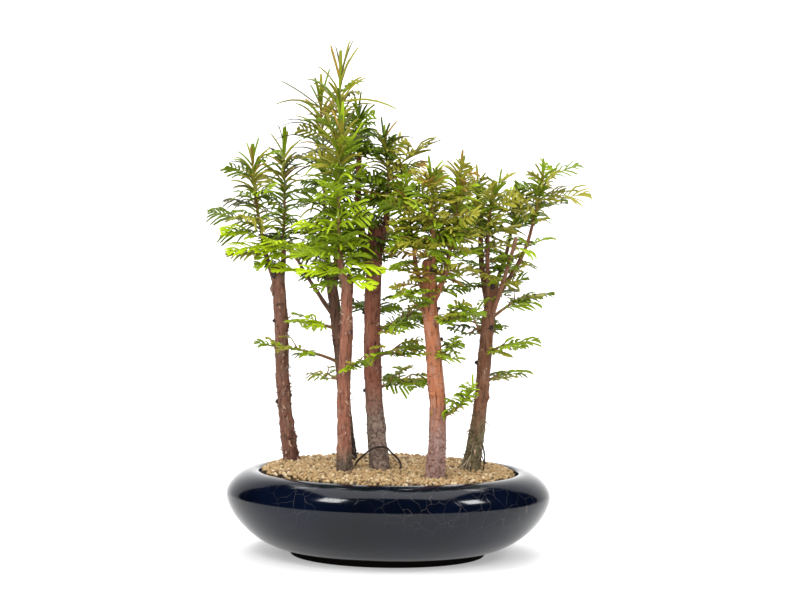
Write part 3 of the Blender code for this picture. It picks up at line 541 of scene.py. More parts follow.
# Masses of needles, grown by the same rule and the same draws as the solids. On the leaders, whose boughs
# have their names: tip, bow, sprays, their reach, needles, needle length, bare share, droop, tints.
leaders = {
    "left_outer": ((-141, 8, 392), (-3, 0, 2), 8, 50, 10, 30, 0.0, 7, "left"),
    "left_inner": ((-112, 46, 404), (2, 4, 0), 8, 43, 9, 26, 0.05, 6, "left"),
    "front_left": ((-50, -46, 424), (-3, 0, 0), 11, 48, 12, 34, 0.0, 6, "bright"),
    "back_left": ((-75, 40, 456), (2, 8, 0), 7, 41, 12, 38, 0.0, 6, "crown"),
    "back_spire": ((-54, 9, 476), (2, -2, 0), 7, 41, 15, 40, 0.0, 6, "crown"),
    "back_low": ((-108, 2, 308), (0, 0, 4), 4, 36, 0, 20, 0.0, 3, "lime"),
    "centre_left": ((-36, 12, 440), (0, 0, 0), 6, 39, 9, 26, 0.0, 5, "deep"),
    "centre_right": ((-10, -2, 418), (5, 3, 0), 8, 43, 9, 26, 0.1, 6, "bronze"),
    "front_right_left": ((13, -41, 370), (-2, 3, 0), 8, 39, 8, 24, 0.0, 5, "olive"),
    "front_right_mid": ((37, -72, 380), (1, 0, 0), 7, 39, 8, 24, 0.0, 5, "olive"),
    "front_right_side": ((66, -49, 384), (2, -2, 0), 8, 39, 9, 26, 0.0, 5, "olive"),
    "right_back": ((86, 30, 376), (0, 2, 0), 6, 39, 5, 20, 0.0, 5, "right"),
    "right_mid": ((104, -34, 372), (-4, 2, 0), 8, 39, 5, 20, 0.0, 5, "right"),
    "right_outer": ((150, 6, 384), (2, 2, 0), 6, 46, 6, 20, 0.0, 5, "right"),
    "right_inner": ((129, 42, 362), (2, 2, 0), 6, 39, 5, 18, 0.0, 5, "right"),
}
# Low on the trunks: trunk, height on it, tip, bow, sprays, their reach, bare share, droop, tints.
lowSprays = {
    "sprays_left_wide": ("trunk_back_left", 188, (-122, -2, 208), (8, -4, 6), 5, 27, 0.3, 3, "low"),
    "sprays_left_high": ("trunk_back_left", 222, (-84, 20, 228), (0, 0, 5), 4, 34, 0.2, 3, "lime"),
    "sprays_left_low": ("trunk_back_left", 168, (-66, 50, 176), (0, 0, 2), 2, 25, 0.2, 2, "low"),
    "sprays_front_left": ("trunk_front_left", 186, (-29, -56, 198), (0, 0, 2), 3, 23, 0.2, 2, "low"),
    "sprays_centre_high": ("trunk_centre", 222, (22, -12, 240), (0, 0, 4), 5, 36, 0.2, 4, "low"),
    "sprays_centre_mid": ("trunk_centre", 196, (14, -32, 210), (0, 0, 4), 3, 32, 0.2, 3, "low"),
    "sprays_centre_low": ("trunk_centre", 166, (16, 0, 176), (0, 0, 2), 4, 39, 0.2, 3, "low"),
    "sprays_centre_back": ("trunk_centre", 236, (-20, 26, 250), (0, 0, 4), 4, 36, 0.2, 3, "deep"),
    "sprays_front_right_high": ("trunk_front_right", 232, (64, -72, 246), (0, 0, 4), 4, 30, 0.2, 3, "low"),
    "sprays_front_right_mid": ("trunk_front_right", 196, (62, -46, 214), (0, 0, 4), 4, 32, 0.2, 3, "low"),
    "shoot_front_right_low": ("trunk_front_right", 144, (80, -78, 178), (8, 0, -8), 5, 25, 0.35, 1, "low"),
    "sprays_front_right_left": ("trunk_front_right", 240, (10, -76, 268), (0, 0, 2), 3, 30, 0.35, 3,
                                "bright"),
    "sprays_right_high": ("trunk_right", 236, (136, 4, 262), (0, 0, 4), 5, 34, 0.35, 3, "low"),
    "sprays_right_mid": ("trunk_right", 202, (118, -16, 214), (0, 0, 3), 4, 32, 0.2, 3, "low"),
    "sprays_right_low": ("trunk_right", 172, (118, 8, 184), (0, 0, 3), 4, 32, 0.2, 3, "low"),
    "sprays_right_back": ("trunk_right", 214, (84, 36, 240), (-4, 0, 4), 5, 34, 0.2, 3, "deep"),
}
# Leaves that reach out of the crown: share of the stem, azimuth, rise, length, kind.
reaches = {
    "needles_left_outer": [(0.12, 184, 26, 60, "spray"), (0.08, 205, 4, 44, "spray")],
    "needles_back_left": [(0.95, 172, 18, 50, "needle"), (0.6, 178, 24, 52, "spray")],
    "needles_back_spire": [(0.99, 200, 74, 39, "needle"), (0.99, -10, 64, 42, "needle"),
                           (0.86, -12, 8, 60, "needle"), (0.7, 5, 14, 44, "spray")],
    "needles_centre_right": [(0.5, -42, 36, 66, "spray"), (0.42, -12, 34, 48, "spray")],
    "needles_right_outer": [(0.5, -4, 12, 54, "spray"), (0.9, 8, 26, 44, "spray")],
}
massFields = ("tip", "bow", "sprays", "reach", "needles", "needle", "bare", "droop", "tints")
masses = {"needles_" + name: dict(zip(massFields, row), on="bough_" + name) for name, row in leaders.items()}
for massName, (trunkName, height, *row) in lowSprays.items():
    masses[massName] = dict(zip(massFields, row[:4] + [0, 16] + row[4:]), on=trunkName, height=height)
masses["shoot_front_right_low"].update(needles=3, needle=14)

rule = dict(seed=23, onward=0.12, lastSpray=0.97, spraySet=0.6, steepStem=0.6, sprayRise=(6, 26),
            riseGain=26, lengthAtFoot=1.05, lengthLoss=0.42, sprayVary=(0.85, 1.1), sideTurn=(42, 66),
            sideRise=(0, 16), endTurn=0.3, reachRoll=0.3, needleFirst=0.99, needleBand=0.42,
            needleCrowd=1.3, needleSteepest=78, needleFlattens=66, needleBend=0.7, needleWander=6,
            needleVary=(0.8, 1.1), shorter=(1.0, 0.8, 0.62), steepRoll=math.radians(55),
            levelRoll=math.radians(28), widthShare=0.70, foot=0.2, tip=0.85, tipWidth=0.3, sampleStep=3.0,
            limbSteps=30, barkRoom=1, clearance=2.0, cell=14.0, floor=100.0)


def stemPath(spec, count=6):
    if spec["on"] in trunks:
        start = atHeight(trunkPath(trunks[spec["on"]]), spec["height"])
        return [bezier(start, spec["tip"], spec["bow"], step / (count - 1)) for step in range(count)]
    bough = boughPath(spec["on"])
    ahead = (bough[-1] - bough[-2]).normalized()
    start = bough[-1] + ahead * (gap + 0.05)
    onward = start + ahead * ((Vector(spec["tip"]) - start).length * rule["onward"])
    path = [start, onward]
    for step in range(1, count - 1):
        path.append(bezier(onward, spec["tip"], spec["bow"], step / (count - 2)))
    return path


def heading(azimuth, elevation):
    level = math.cos(elevation)
    return Vector((math.cos(azimuth) * level, math.sin(azimuth) * level, math.sin(elevation)))


def growth(name, chance):
    spec = masses[name]
    path = stemPath(spec)
    rise = (path[-1] - path[0]).normalized().z
    stemWay = math.atan2(path[-1].y - path[0].y, path[-1].x - path[0].x)
    wishes = []
    for share, azimuth, elevation, length, kind in reaches.get(name, ()):
        root, _ = along(path, share)
        way = heading(math.radians(azimuth), math.radians(elevation))
        wishes.append((kind, root, way, rule["reachRoll"], length))
    turn = chance.uniform(0, 2 * math.pi)
    count = spec["sprays"]
    for index in range(count):
        share = spec["bare"] + (rule["lastSpray"] - spec["bare"]) * (index + rule["spraySet"]) / count
        root, _ = along(path, share)
        if rise > rule["steepStem"]:
            turn += goldenTurn
            azimuth = turn
            elevation = math.radians(chance.uniform(*rule["sprayRise"]) + rule["riseGain"] * share)
            roll = chance.uniform(-rule["steepRoll"], rule["steepRoll"])
            length = spec["reach"] * (rule["lengthAtFoot"] - rule["lengthLoss"] * share)
        else:
            side = 1 if index % 2 else -1
            offStem = math.radians(chance.uniform(*rule["sideTurn"]))
            if index == count - 1:
                offStem *= rule["endTurn"]
            azimuth = stemWay + side * offStem
            elevation = math.radians(chance.uniform(*rule["sideRise"]))
            roll = chance.uniform(-rule["levelRoll"], rule["levelRoll"])
            length = spec["reach"]
        length *= chance.uniform(*rule["sprayVary"])
        wishes.append(("spray", root, heading(azimuth, elevation), roll, length))
    for index in range(spec["needles"]):
        down = index / spec["needles"]
        root, _ = along(path, rule["needleFirst"] - rule["needleBand"] * down ** rule["needleCrowd"])
        wander = chance.uniform(-rule["needleWander"], rule["needleWander"])
        elevation = rule["needleSteepest"] - rule["needleFlattens"] * down ** rule["needleBend"] + wander
        roll = chance.uniform(-rule["steepRoll"], rule["steepRoll"])
        length = spec["needle"] * chance.uniform(*rule["needleVary"])
        way = heading(turn + goldenTurn * index, math.radians(elevation))
        wishes.append(("needle", root, way, roll, length))
    return path, wishes


def acrossWay(way, roll):
    level = up.cross(way).normalized()
    return Matrix.Rotation(roll, 3, way) @ level


def samplePoints(kind, root, way, roll, length, droop):
    level = acrossWay(way, roll)
    half = length * rule["widthShare"] / 2 if kind == "spray" else 0.0
    points = []
    steps = max(3, round(length / rule["sampleStep"]))
    across = max(1, round(2 * half / rule["sampleStep"]))
    for step in range(2, steps + 1):
        share = step / steps
        middle = root + way * (length * share) - up * (droop * share * share)
        for column in range(across + 1):
            offset = half * (2 * column / across - 1) if half else 0.0
            if share > rule["tip"]:
                offset *= rule["tipWidth"]
            if share < rule["foot"]:
                offset = 0.0
            points.append(middle + level * offset)
    return points


def cellOf(point):
    return tuple(math.floor(value / rule["cell"]) for value in point)


def note(occupied, owner, points, radius):
    for point in points:
        occupied.setdefault(cellOf(point), []).append((owner, point, radius))


def touches(occupied, owner, points, radius):
    for point in points:
        if point.z < rule["floor"]:
            return True
        x, y, z = cellOf(point)
        for nearby in ((x + i, y + j, z + k) for i in (-1, 0, 1) for j in (-1, 0, 1) for k in (-1, 0, 1)):
            for other, place, reach in occupied.get(nearby, ()):
                if other != owner and (place - point).length < reach + radius + gap:
                    return True
    return False


def noteLimbs(occupied):
    steps = rule["limbSteps"]
    for name, spec in trunks.items():
        path = trunkPath(spec, 60)
        for point, radius in zip(path, trunkRadii(spec, path)):
            note(occupied, name, [point], radius + rule["barkRoom"])
    for name in boughs:
        path = boughPath(name)
        first, last = boughs[name][4]
        for step in range(steps + 1):
            share = step / steps
            radius = first + (last - first) * share
            note(occupied, name, [along(path, share)[0]], radius + rule["barkRoom"])
    for name, spec in masses.items():
        path = stemPath(spec)
        for step in range(2, steps + 1):
            note(occupied, name, [along(path, step / steps)[0]], rule["clearance"])


def placeLeaves():
    occupied = {}
    noteLimbs(occupied)
    chance = random.Random(rule["seed"])
    plans = {}
    for name in masses:
        path, wishes = growth(name, chance)
        plans[name] = (path, wishes, [])
    for turn in range(max(len(wishes) for _, wishes, _ in plans.values())):
        for name, (path, wishes, kept) in plans.items():
            if turn >= len(wishes):
                continue
            kind, root, way, roll, length = wishes[turn]
            for shorter in rule["shorter"]:
                droop = masses[name]["droop"] * shorter if kind == "spray" else 0.0
                leaf = (kind, root, way, roll, length * shorter, droop)
                points = samplePoints(*leaf)
                if not touches(occupied, name, points, rule["clearance"]):
                    note(occupied, name, points, rule["clearance"])
                    kept.append(leaf)
                    break
    return plans


plans = placeLeaves()
print("sprays placed:", sum(len(kept) for _, _, kept in plans.values()))


# Finer growth: every spray becomes a feather of single needles, shorter feathers fill in between
# them, and the leaders carry long arching needles all the way up.
feather = dict(pitch=5.0, start=0.10, stalkShare=0.9, stalk=0.8, baseAngle=58, tipAngle=30,
               spreadVary=(0.86, 1.12), leastSpread=0.6, tilt=(-0.12, 0.20), width=(2.7, 3.7),
               widthShare=0.74, vary=(0.84, 1.10), lift=0.14, sag=(0.10, 0.55), sagVary=(0.5, 1.3),
               twist=0.65, endSpread=0.25, endShare=0.10)
lowFeather = dict(feather, pitch=5.2, widthShare=0.66, width=(2.9, 3.8), sag=(0.05, 0.30))
fanFeather = dict(feather, sag=(-0.10, 0.22), lift=0.22)
limeFeather = dict(fanFeather, pitch=4.6, baseAngle=36, tipAngle=18, widthShare=0.52)
fanTints = ("olive", "right", "bright", "lime")
filler = dict(ratio=1.5, levelRatio=1.8, length=(0.46, 0.86), roll=math.radians(42),
              levelRoll=math.radians(24), last=0.96, crowd=1.5, side=(25, 80), rise=(0, 24), climb=26,
              droop=0.7)
sideTwig = dict(share=0.6, turn=0.5, rise=(-40, 62), length=(7, 15))
leader = dict(spacing=1.3, first=0.06, last=0.90, width=(2.7, 3.6), length=(0.80, 1.15), arch=0.16, roll=0.5,
              topRise=62, footRise=24, wander=9, climbBend=3, sag=0.50, sagVary=(0.5, 1.3), lean=0.22,
              topShare=0.58, sameTint=3, topTints=("left", "bright", "crown"))
# more filling feathers on some masses, fewer long straps on others
thicker = {
    "needles_left_outer": 0.3, "needles_left_inner": 0.4, "needles_front_right_left": 2.8,
    "needles_front_right_mid": 2.8, "needles_front_right_side": 2.7, "needles_centre_right": 2.4,
    "needles_centre_left": 1.3, "needles_right_back": 1.3, "needles_right_mid": 1.2,
    "sprays_centre_high": 2.6, "sprays_centre_mid": 2.6, "sprays_centre_low": 1.8,
    "sprays_front_right_high": 2.8, "sprays_front_right_mid": 2.8, "sprays_right_low": 0.2,
    "sprays_right_mid": 0.4, "sprays_right_high": 0.8, "sprays_left_wide": 0.7,
    "sprays_front_right_left": 2.0, "shoot_front_right_low": 0.3,
}
sparser = {"needles_back_spire": 1.9, "needles_back_left": 1.6, "needles_left_outer": 1.2}
# Feathers on the bare boughs: how many, from and to which share, reach, tints.
inner = {
    "left_outer": (2, 0.55, 1.0, 36, "left"), "left_inner": (2, 0.5, 1.0, 34, "left"),
    "front_left": (9, 0.1, 1.0, 40, "bright"), "back_left": (8, 0.3, 1.0, 40, "left"),
    "back_spire": (12, 0.2, 1.0, 40, "crown"), "centre_left": (21, 0.1, 1.0, 40, "deep"),
    "centre_right": (13, 0.1, 1.0, 40, "crown"), "front_right_left": (12, 0.2, 1.0, 38, "olive"),
    "front_right_mid": (12, 0.2, 1.0, 38, "olive"), "front_right_side": (12, 0.2, 1.0, 36, "olive"),
    "right_back": (10, 0.2, 1.0, 36, "right"), "right_mid": (10, 0.2, 1.0, 34, "right"),
    "right_stub": (5, 0.3, 0.9, 28, "low"), "right_outer": (6, 0.2, 0.8, 34, "right"),
    "right_inner": (9, 0.2, 1.0, 34, "right"),
}
innerWay = dict(rise=(-6, 28), roll=math.radians(34), vary=(0.75, 1.0), droop=5, twig=0.3, span=0.98,
                stubOwner="needles_left_outer")
# Young bright feathers on the boughs: share, azimuth, rise, length, roll, tint.
accentDroop = 4
accents = {
    "left_outer": [(0.96, 207, 10, 46, -0.6, "lime"), (0.84, 212, -6, 42, -0.7, "lime"),
                   (0.66, 196, 6, 42, -0.5, "olive")],
    "left_inner": [(0.92, 230, 10, 44, -0.6, "lime"), (0.96, -30, 6, 44, 0.6, "lime"),
                   (0.70, 220, -4, 36, -0.5, "fresh")],
    "front_left": [(0.75, -14, -4, 46, 0.5, "lime"), (0.55, 200, 2, 46, -0.5, "lime"),
                   (0.95, 172, 4, 50, -0.6, "fresh"), (0.35, -30, -6, 38, 0.5, "lime")],
    "back_low": [(0.80, 196, 10, 36, -0.5, "lime")],
}
# Straps that stand against the sky: share of the mass's stem, azimuth, rise, length, how far the tip
# sags and how far it leans outwards as shares of the length, width, tint.
signature = {
    "needles_back_spire": [
        (0.93, 180, 96, 45, 0.0, 0.22, 3.0, "dusk"), (0.97, 0, 84, 44, 0.0, 0.18, 2.4, "dusk"),
        (0.93, -75, 88, 41, 0.0, 0.0, 4.5, "fresh"), (0.94, -105, 88, 38, 0.0, 0.06, 3.5, "olive"),
        (0.82, 182, 62, 54, 0.32, 0.18, 4.8, "green"), (0.84, -4, 22, 50, 0.33, 0.0, 2.1, "dusk"),
        (0.80, -6, 50, 22, 0.55, 0.1, 3.2, "green"), (0.72, -4, 22, 32, 0.42, 0.0, 2.5, "dusk"),
        (0.70, -14, 34, 36, 0.40, 0.0, 2.8, "green"), (0.76, 8, 66, 26, 0.0, 0.1, 2.8, "olive")],
    "needles_back_left": [
        (0.95, 180, 34, 51, 0.02, 0.0, 2.8, "dusk"), (0.97, -105, 88, 32, 0.0, 0.0, 4.2, "olive"),
        (0.95, -75, 86, 26, 0.0, 0.0, 3.8, "green"), (0.96, 180, 70, 24, 0.0, 0.12, 3.2, "green"),
        (0.82, 180, 34, 48, 0.39, 0.0, 2.4, "dusk"), (0.80, 184, 28, 54, 0.43, 0.0, 2.4, "dusk"),
        (0.72, 182, 12, 50, 0.10, 0.0, 2.2, "dusk"), (0.86, 186, 50, 26, 0.50, 0.0, 3.8, "green"),
        (0.74, 188, 45, 25, 0.75, 0.0, 3.8, "green"), (0.66, 180, 30, 34, 0.70, 0.0, 2.4, "dusk"),
        (0.60, 186, -18, 34, 0.05, 0.0, 3.2, "dusk")],
    "needles_front_left": [
        (0.78, 188, 74, 46, 0.0, 0.02, 5.5, "olive"), (0.78, -75, 82, 38, 0.0, 0.0, 5.0, "bronze"),
        (0.76, -6, 62, 44, 0.0, 0.04, 3.2, "fresh"), (0.80, 200, 60, 40, 0.15, 0.1, 4.0, "olive"),
        (0.84, 184, 14, 46, 0.45, 0.0, 3.2, "dusk"), (0.90, -75, 84, 40, 0.0, 0.0, 4.5, "fresh"),
        (0.62, -20, 40, 42, 0.30, 0.0, 3.5, "fresh")],
    "needles_left_outer": [
        (0.95, -105, 84, 22, 0.0, 0.06, 4.0, "green"), (0.95, -75, 84, 22, 0.0, 0.02, 3.8, "green"),
        (0.92, 180, 60, 26, 0.25, 0.1, 3.5, "green"), (0.90, 2, 60, 22, 0.20, 0.1, 3.0, "olive"),
        (0.84, 180, 42, 38, 0.45, 0.0, 2.8, "dusk"), (0.76, 184, 40, 26, 0.55, 0.0, 3.0, "dusk"),
        (0.64, 180, 30, 29, 0.50, 0.0, 2.9, "dusk"), (0.50, 178, 30, 22, 0.50, 0.0, 2.9, "dusk")],
    "needles_left_inner": [
        (0.95, -105, 88, 30, 0.0, 0.0, 4.8, "green"), (0.96, -75, 84, 30, 0.0, 0.02, 4.2, "green"),
        (0.94, 182, 92, 34, 0.0, 0.24, 2.2, "dusk"), (0.92, -4, 60, 26, 0.05, 0.2, 3.2, "green")],
    "needles_centre_right": [
        (0.90, -4, 30, 34, 0.30, 0.0, 2.5, "dusk"), (0.80, -8, 24, 30, 0.30, 0.0, 2.5, "dusk"),
        (0.95, 0, 66, 22, 0.0, 0.2, 3.0, "bronze")],
}
tints = {
    "top": [("olive", 4), ("green", 5), ("dusk", 1), ("bronze", 1)],
    "left": [("green", 6), ("fresh", 3), ("olive", 3), ("deep", 1), ("dusk", 1)],
    "bright": [("fresh", 6), ("green", 4), ("lime", 2)],
    "lime": [("lime", 5), ("fresh", 3)],
    "crown": [("green", 5), ("olive", 4), ("deep", 1), ("fresh", 3), ("dusk", 2)],
    "deep": [("deep", 4), ("green", 5), ("fresh", 1)],
    "bronze": [("bronze", 2), ("olive", 4), ("deep", 2), ("green", 4)],
    "olive": [("olive", 6), ("green", 2), ("bronze", 1), ("fresh", 2)],
    "right": [("olive", 5), ("green", 4), ("fresh", 2)],
    "low": [("fresh", 5), ("green", 4), ("olive", 2)],
}
needleColours = {
    "lime": (0.36, 0.48, 0.008), "fresh": (0.205, 0.285, 0.008), "green": (0.112, 0.165, 0.006),
    "deep": (0.050, 0.080, 0.004), "olive": (0.215, 0.205, 0.020), "bronze": (0.24, 0.155, 0.024),
    "dusk": (0.080, 0.078, 0.030),
}
strands = {name: [] for name in needleColours}
longStrands = {name: [] for name in needleColours}
usedBy = {name: set() for name in needleColours}
stalks = []
twigs = []


def addStrand(rows, root, way, side, length, width, sag, arch):
    rows.append((*root, *way, *side, length, width, *sag, *arch))


def bulge(share):
    # how far the feather's outline stands out: full from a quarter, narrower past the middle
    return min(1.0, (share / 0.24)) ** 0.55 * (1 - 0.42 * max(0.0, share - 0.45) / 0.55)


def growFeather(leaf, colour, chance, look):
    _, root, way, roll, length, droop = leaf
    level = acrossWay(way, roll)
    above = way.cross(level)
    last = look["stalkShare"]
    fall = droop * last ** 2
    addStrand(stalks, root, way, level, length * last, look["stalk"], -up * fall, Vector())
    pairs = round(length * (last - look["start"]) / look["pitch"])
    half = length * look["widthShare"] / 2
    curl = chance.uniform(*look["sag"])
    for index in range(pairs + 1):
        share = look["start"] + (last - look["start"]) * index / pairs
        centre = root + way * (length * share) - up * (droop * share * share)
        ahead = (way * length - up * (2 * droop * share)).normalized()
        spread = math.radians(look["baseAngle"] + (look["tipAngle"] - look["baseAngle"]) * share)
        for side in (1, -1):
            turned = spread * chance.uniform(*look["spreadVary"])
            tilt = above * chance.uniform(*look["tilt"])
            direction = (ahead * math.cos(turned) + level * (side * math.sin(turned)) + tilt).normalized()
            reach = half * bulge(share) / math.sin(max(turned, look["leastSpread"]))
            reach *= chance.uniform(*look["vary"])
            reach = min(reach, length * (1.0 - share) / math.cos(turned))
            flat = direction.cross(above).normalized()
            twist = chance.uniform(-look["twist"], look["twist"])
            across = flat * math.cos(twist) + flat.cross(direction) * math.sin(twist)
            arch = above * (reach * chance.uniform(0.0, look["lift"]))
            sag = -up * reach * curl * chance.uniform(*look["sagVary"])
            width = chance.uniform(*look["width"])
            addStrand(strands[colour], centre, direction, across, reach, width, sag, arch)
    end = root + way * (length * last) - up * fall
    ahead = (way * length - up * (2 * droop)).normalized()
    for turned in (-look["endSpread"], 0.0, look["endSpread"]):
        direction = (ahead * math.cos(turned) + level * math.sin(turned)).normalized()
        reach = length * look["endShare"]
        addStrand(strands[colour], end, direction, level, reach, look["width"][0], Vector(), Vector())


def growNeedle(root, azimuth, elevation, length, colour, chance, sagShare=0.0, leanShare=0.0, width=None):
    # one long strap that rises, leans outwards and sags at its tip
    outwards = heading(azimuth, 0)
    way = heading(azimuth, elevation)
    level = up.cross(outwards)
    above = way.cross(level)
    roll = chance.uniform(-leader["roll"], leader["roll"])
    across = (level * math.cos(roll) + above * math.sin(roll)).normalized()
    arch = up * (length * leader["arch"] * chance.uniform(0.0, 1.0)) * math.cos(elevation)
    sag = outwards * (length * leanShare) - up * (length * sagShare)
    wide = width or chance.uniform(*leader["width"])
    addStrand(longStrands[colour], root, way, across, length, wide, sag, arch)


def dealer(weights, chance):
    draws = [name for name, weight in weights for _ in range(weight)]
    return lambda: chance.choice(draws)


def growKept(name, kept, chance, look, nextTint, nextTop, change):
    # the sprays and needles of the solid, each as a feather or a strap
    for kind, root, way, roll, length, droop in kept:
        colour = nextTop() if root.z > change else nextTint()
        usedBy[colour].add(name)
        if kind == "spray":
            growFeather((kind, root, way, roll, length, droop), colour, chance, look)
        else:
            elevation = math.asin(way.z)
            sag = leader["sag"] * math.cos(elevation) / 2
            growNeedle(root, math.atan2(way.y, way.x), elevation, length, colour, chance, sag)


def growFiller(name, path, upright, chance, look, nextTint):
    # shorter feathers between the sprays, some of them on a short twig of their own
    spec = masses[name]
    stemWay = math.atan2(path[-1].y - path[0].y, path[-1].x - path[0].x)
    turn = chance.uniform(0, 2 * math.pi)
    ratio = (filler["ratio"] if upright else filler["levelRatio"]) * thicker.get(name, 1.0)
    widest = filler["roll"] if upright else filler["levelRoll"]
    for _ in range(round(spec["sprays"] * ratio)):
        crowd = filler["crowd"] if upright else 1.0
        share = spec["bare"] + (filler["last"] - spec["bare"]) * chance.random() ** crowd
        root, _ = along(path, share)
        length = spec["reach"] * chance.uniform(*filler["length"])
        if upright:
            turn += goldenTurn
            azimuth = turn
            length *= rule["lengthAtFoot"] - rule["lengthLoss"] * share
        else:
            azimuth = stemWay + chance.choice((-1, 1)) * math.radians(chance.uniform(*filler["side"]))
        elevation = math.radians(chance.uniform(*filler["rise"]) + filler["climb"] * share * upright)
        roll = chance.uniform(-widest, widest)
        if not upright and chance.random() < sideTwig["share"]:
            turned = azimuth + chance.uniform(-sideTwig["turn"], sideTwig["turn"])
            way = heading(turned, math.radians(chance.uniform(*sideTwig["rise"])))
            foot, root = root, root + way * chance.uniform(*sideTwig["length"])
            twigs.append((foot, root))
        colour = nextTint()
        usedBy[colour].add(name)
        leaf = ("spray", root, heading(azimuth, elevation), roll, length, spec["droop"] * filler["droop"])
        growFeather(leaf, colour, chance, look)


def growStraps(name, path, chance, nextTint, nextTop):
    # long needles all the way up a leader, flatter low down and steeper at the top
    stemLength = sum((b - a).length for a, b in zip(path, path[1:]))
    count = round(stemLength / leader["spacing"] / sparser.get(name, 1.0))
    colour = nextTint()
    for index in range(count):
        share = leader["first"] + (leader["last"] - leader["first"]) * index / count
        root, _ = along(path, share)
        climb = share ** leader["climbBend"]
        wander = chance.uniform(-leader["wander"], leader["wander"])
        elevation = leader["footRise"] + (leader["topRise"] - leader["footRise"]) * climb + wander
        length = masses[name]["needle"] * chance.uniform(*leader["length"])
        if index % leader["sameTint"] == 0:
            colour = nextTop() if share > leader["topShare"] else nextTint()
        usedBy[colour].add(name)
        sag = leader["sag"] * (1 - climb) * chance.uniform(*leader["sagVary"])
        lean = leader["lean"] * climb * chance.uniform(0.0, 1.0)
        growNeedle(root, index * goldenTurn, math.radians(elevation), length, colour, chance, sag, lean)


def growMass(name, plan, chance):
    tintName = masses[name]["tints"]
    path, _, kept = plan
    upright = (path[-1] - path[0]).normalized().z > rule["steepStem"]
    look = (fanFeather if tintName in fanTints else feather) if upright else lowFeather
    nextTint = dealer(tints[tintName], chance)
    nextTop = dealer(tints["top"], chance) if upright and tintName in leader["topTints"] else nextTint
    change = path[0].z + (path[-1].z - path[0].z) * leader["topShare"]
    growKept(name, kept, chance, look, nextTint, nextTop, change)
    growFiller(name, path, upright, chance, look, nextTint)
    if upright and masses[name]["needles"]:
        growStraps(name, path, chance, nextTint, nextTop)


def asArrays(bm):
    bm.verts.index_update()
    points = np.array([vert.co[:] for vert in bm.verts])
    faces = np.array([[vert.index for vert in face.verts] for face in bm.faces])
    bm.free()
    return points, faces


def strandMaster(sides, profile, flat):
    # a closed blade or stalk of unit length along X, made once and then laid many times
    rings = len(profile)
    bm = ringedCylinder(sides, rings)
    turn = Matrix.Rotation(math.pi / 2, 4, "Y")
    bmesh.ops.rotate(bm, verts=bm.verts, cent=(0, 0, 0), matrix=turn.to_3x3())
    bmesh.ops.translate(bm, verts=bm.verts, vec=(0.5, 0, 0))
    for vert in bm.verts:
        ring = min(rings - 1, round(vert.co.x * (rings - 1)))
        place, width = profile[ring]
        vert.co = Vector((place, vert.co.y * width, vert.co.z * width * flat))
    bmesh.ops.remove_doubles(bm, verts=bm.verts, dist=0.0001)
    bmesh.ops.triangulate(bm, faces=bm.faces)
    bmesh.ops.recalc_face_normals(bm, faces=bm.faces)
    return asArrays(bm)


def layStrands(rows, master):
    # every strand of a list as one array of points and one of triangles, in metres
    points, faces = master
    table = np.array(rows)
    root, way, side = table[:, 0:3], table[:, 3:6], table[:, 6:9]
    length, width, sag, arch = table[:, 9], table[:, 10], table[:, 11:14], table[:, 14:17]
    above = np.cross(way, side)
    x, y, z = points[:, 0], points[:, 1], points[:, 2]
    laid = (root[:, None] + way[:, None] * (length[:, None] * x)[..., None]
            + side[:, None] * (width[:, None] * 0.5 * y)[..., None]
            + above[:, None] * (width[:, None] * 0.5 * z)[..., None]
            + sag[:, None] * (x * x)[None, :, None] + arch[:, None] * (4 * (x - x * x))[None, :, None])
    numbers = faces[None] + (np.arange(len(rows)) * len(points))[:, None, None]
    return laid.reshape(-1, 3) * mm, numbers.reshape(-1, 3)


def arrayObject(name, parts, material, sharpAngle=0):
    counts = np.cumsum([0] + [len(points) for points, _ in parts])
    points = np.concatenate([points for points, _ in parts]).astype(np.float32)
    faces = np.concatenate([faces + start for (_, faces), start in zip(parts, counts)]).astype(np.int32)
    mesh = bpy.data.meshes.new(name)
    mesh.vertices.add(len(points))
    mesh.vertices.foreach_set("co", points.ravel())
    mesh.loops.add(faces.size)
    mesh.loops.foreach_set("vertex_index", faces.ravel())
    mesh.polygons.add(len(faces))
    mesh.polygons.foreach_set("loop_start", np.arange(0, faces.size, 3, dtype=np.int32))
    mesh.update(calc_edges=True)
    return placedMesh(name, mesh, material, sharpAngle), len(faces)


def needleMaterial(name, colour):
    # plain base colour, dealt out by spray, with a waxy shine
    material, _, shader = emptyMaterial(name)
    shader.inputs["Base Color"].default_value = (*colour, 1)
    shader.inputs["Roughness"].default_value = 0.5
    shader.inputs["Specular IOR Level"].default_value = 0.15
    return material


def growInner(name, row, chance):
    # short-stalked feathers that clothe the boughs below the leaders
    count, first, last, reach, tintName = row
    path = boughPath("bough_" + name)
    turn = chance.uniform(0, 2 * math.pi)
    nextTint = dealer(tints[tintName], chance)
    look = fanFeather if tintName in fanTints else feather
    owner = "needles_" + name if name in leaders else innerWay["stubOwner"]
    for index in range(count):
        share = first + (last - first) * (index + chance.random()) / count * innerWay["span"]
        root, _ = along(path, share)
        turn += goldenTurn
        way = heading(turn, math.radians(chance.uniform(*innerWay["rise"])))
        roll = chance.uniform(-innerWay["roll"], innerWay["roll"])
        length = reach * chance.uniform(*innerWay["vary"])
        colour = nextTint()
        usedBy[colour].add(owner)
        twigs.append((root, root + way * (length * innerWay["twig"])))
        growFeather(("spray", root, way, roll, length, innerWay["droop"]), colour, chance, look)


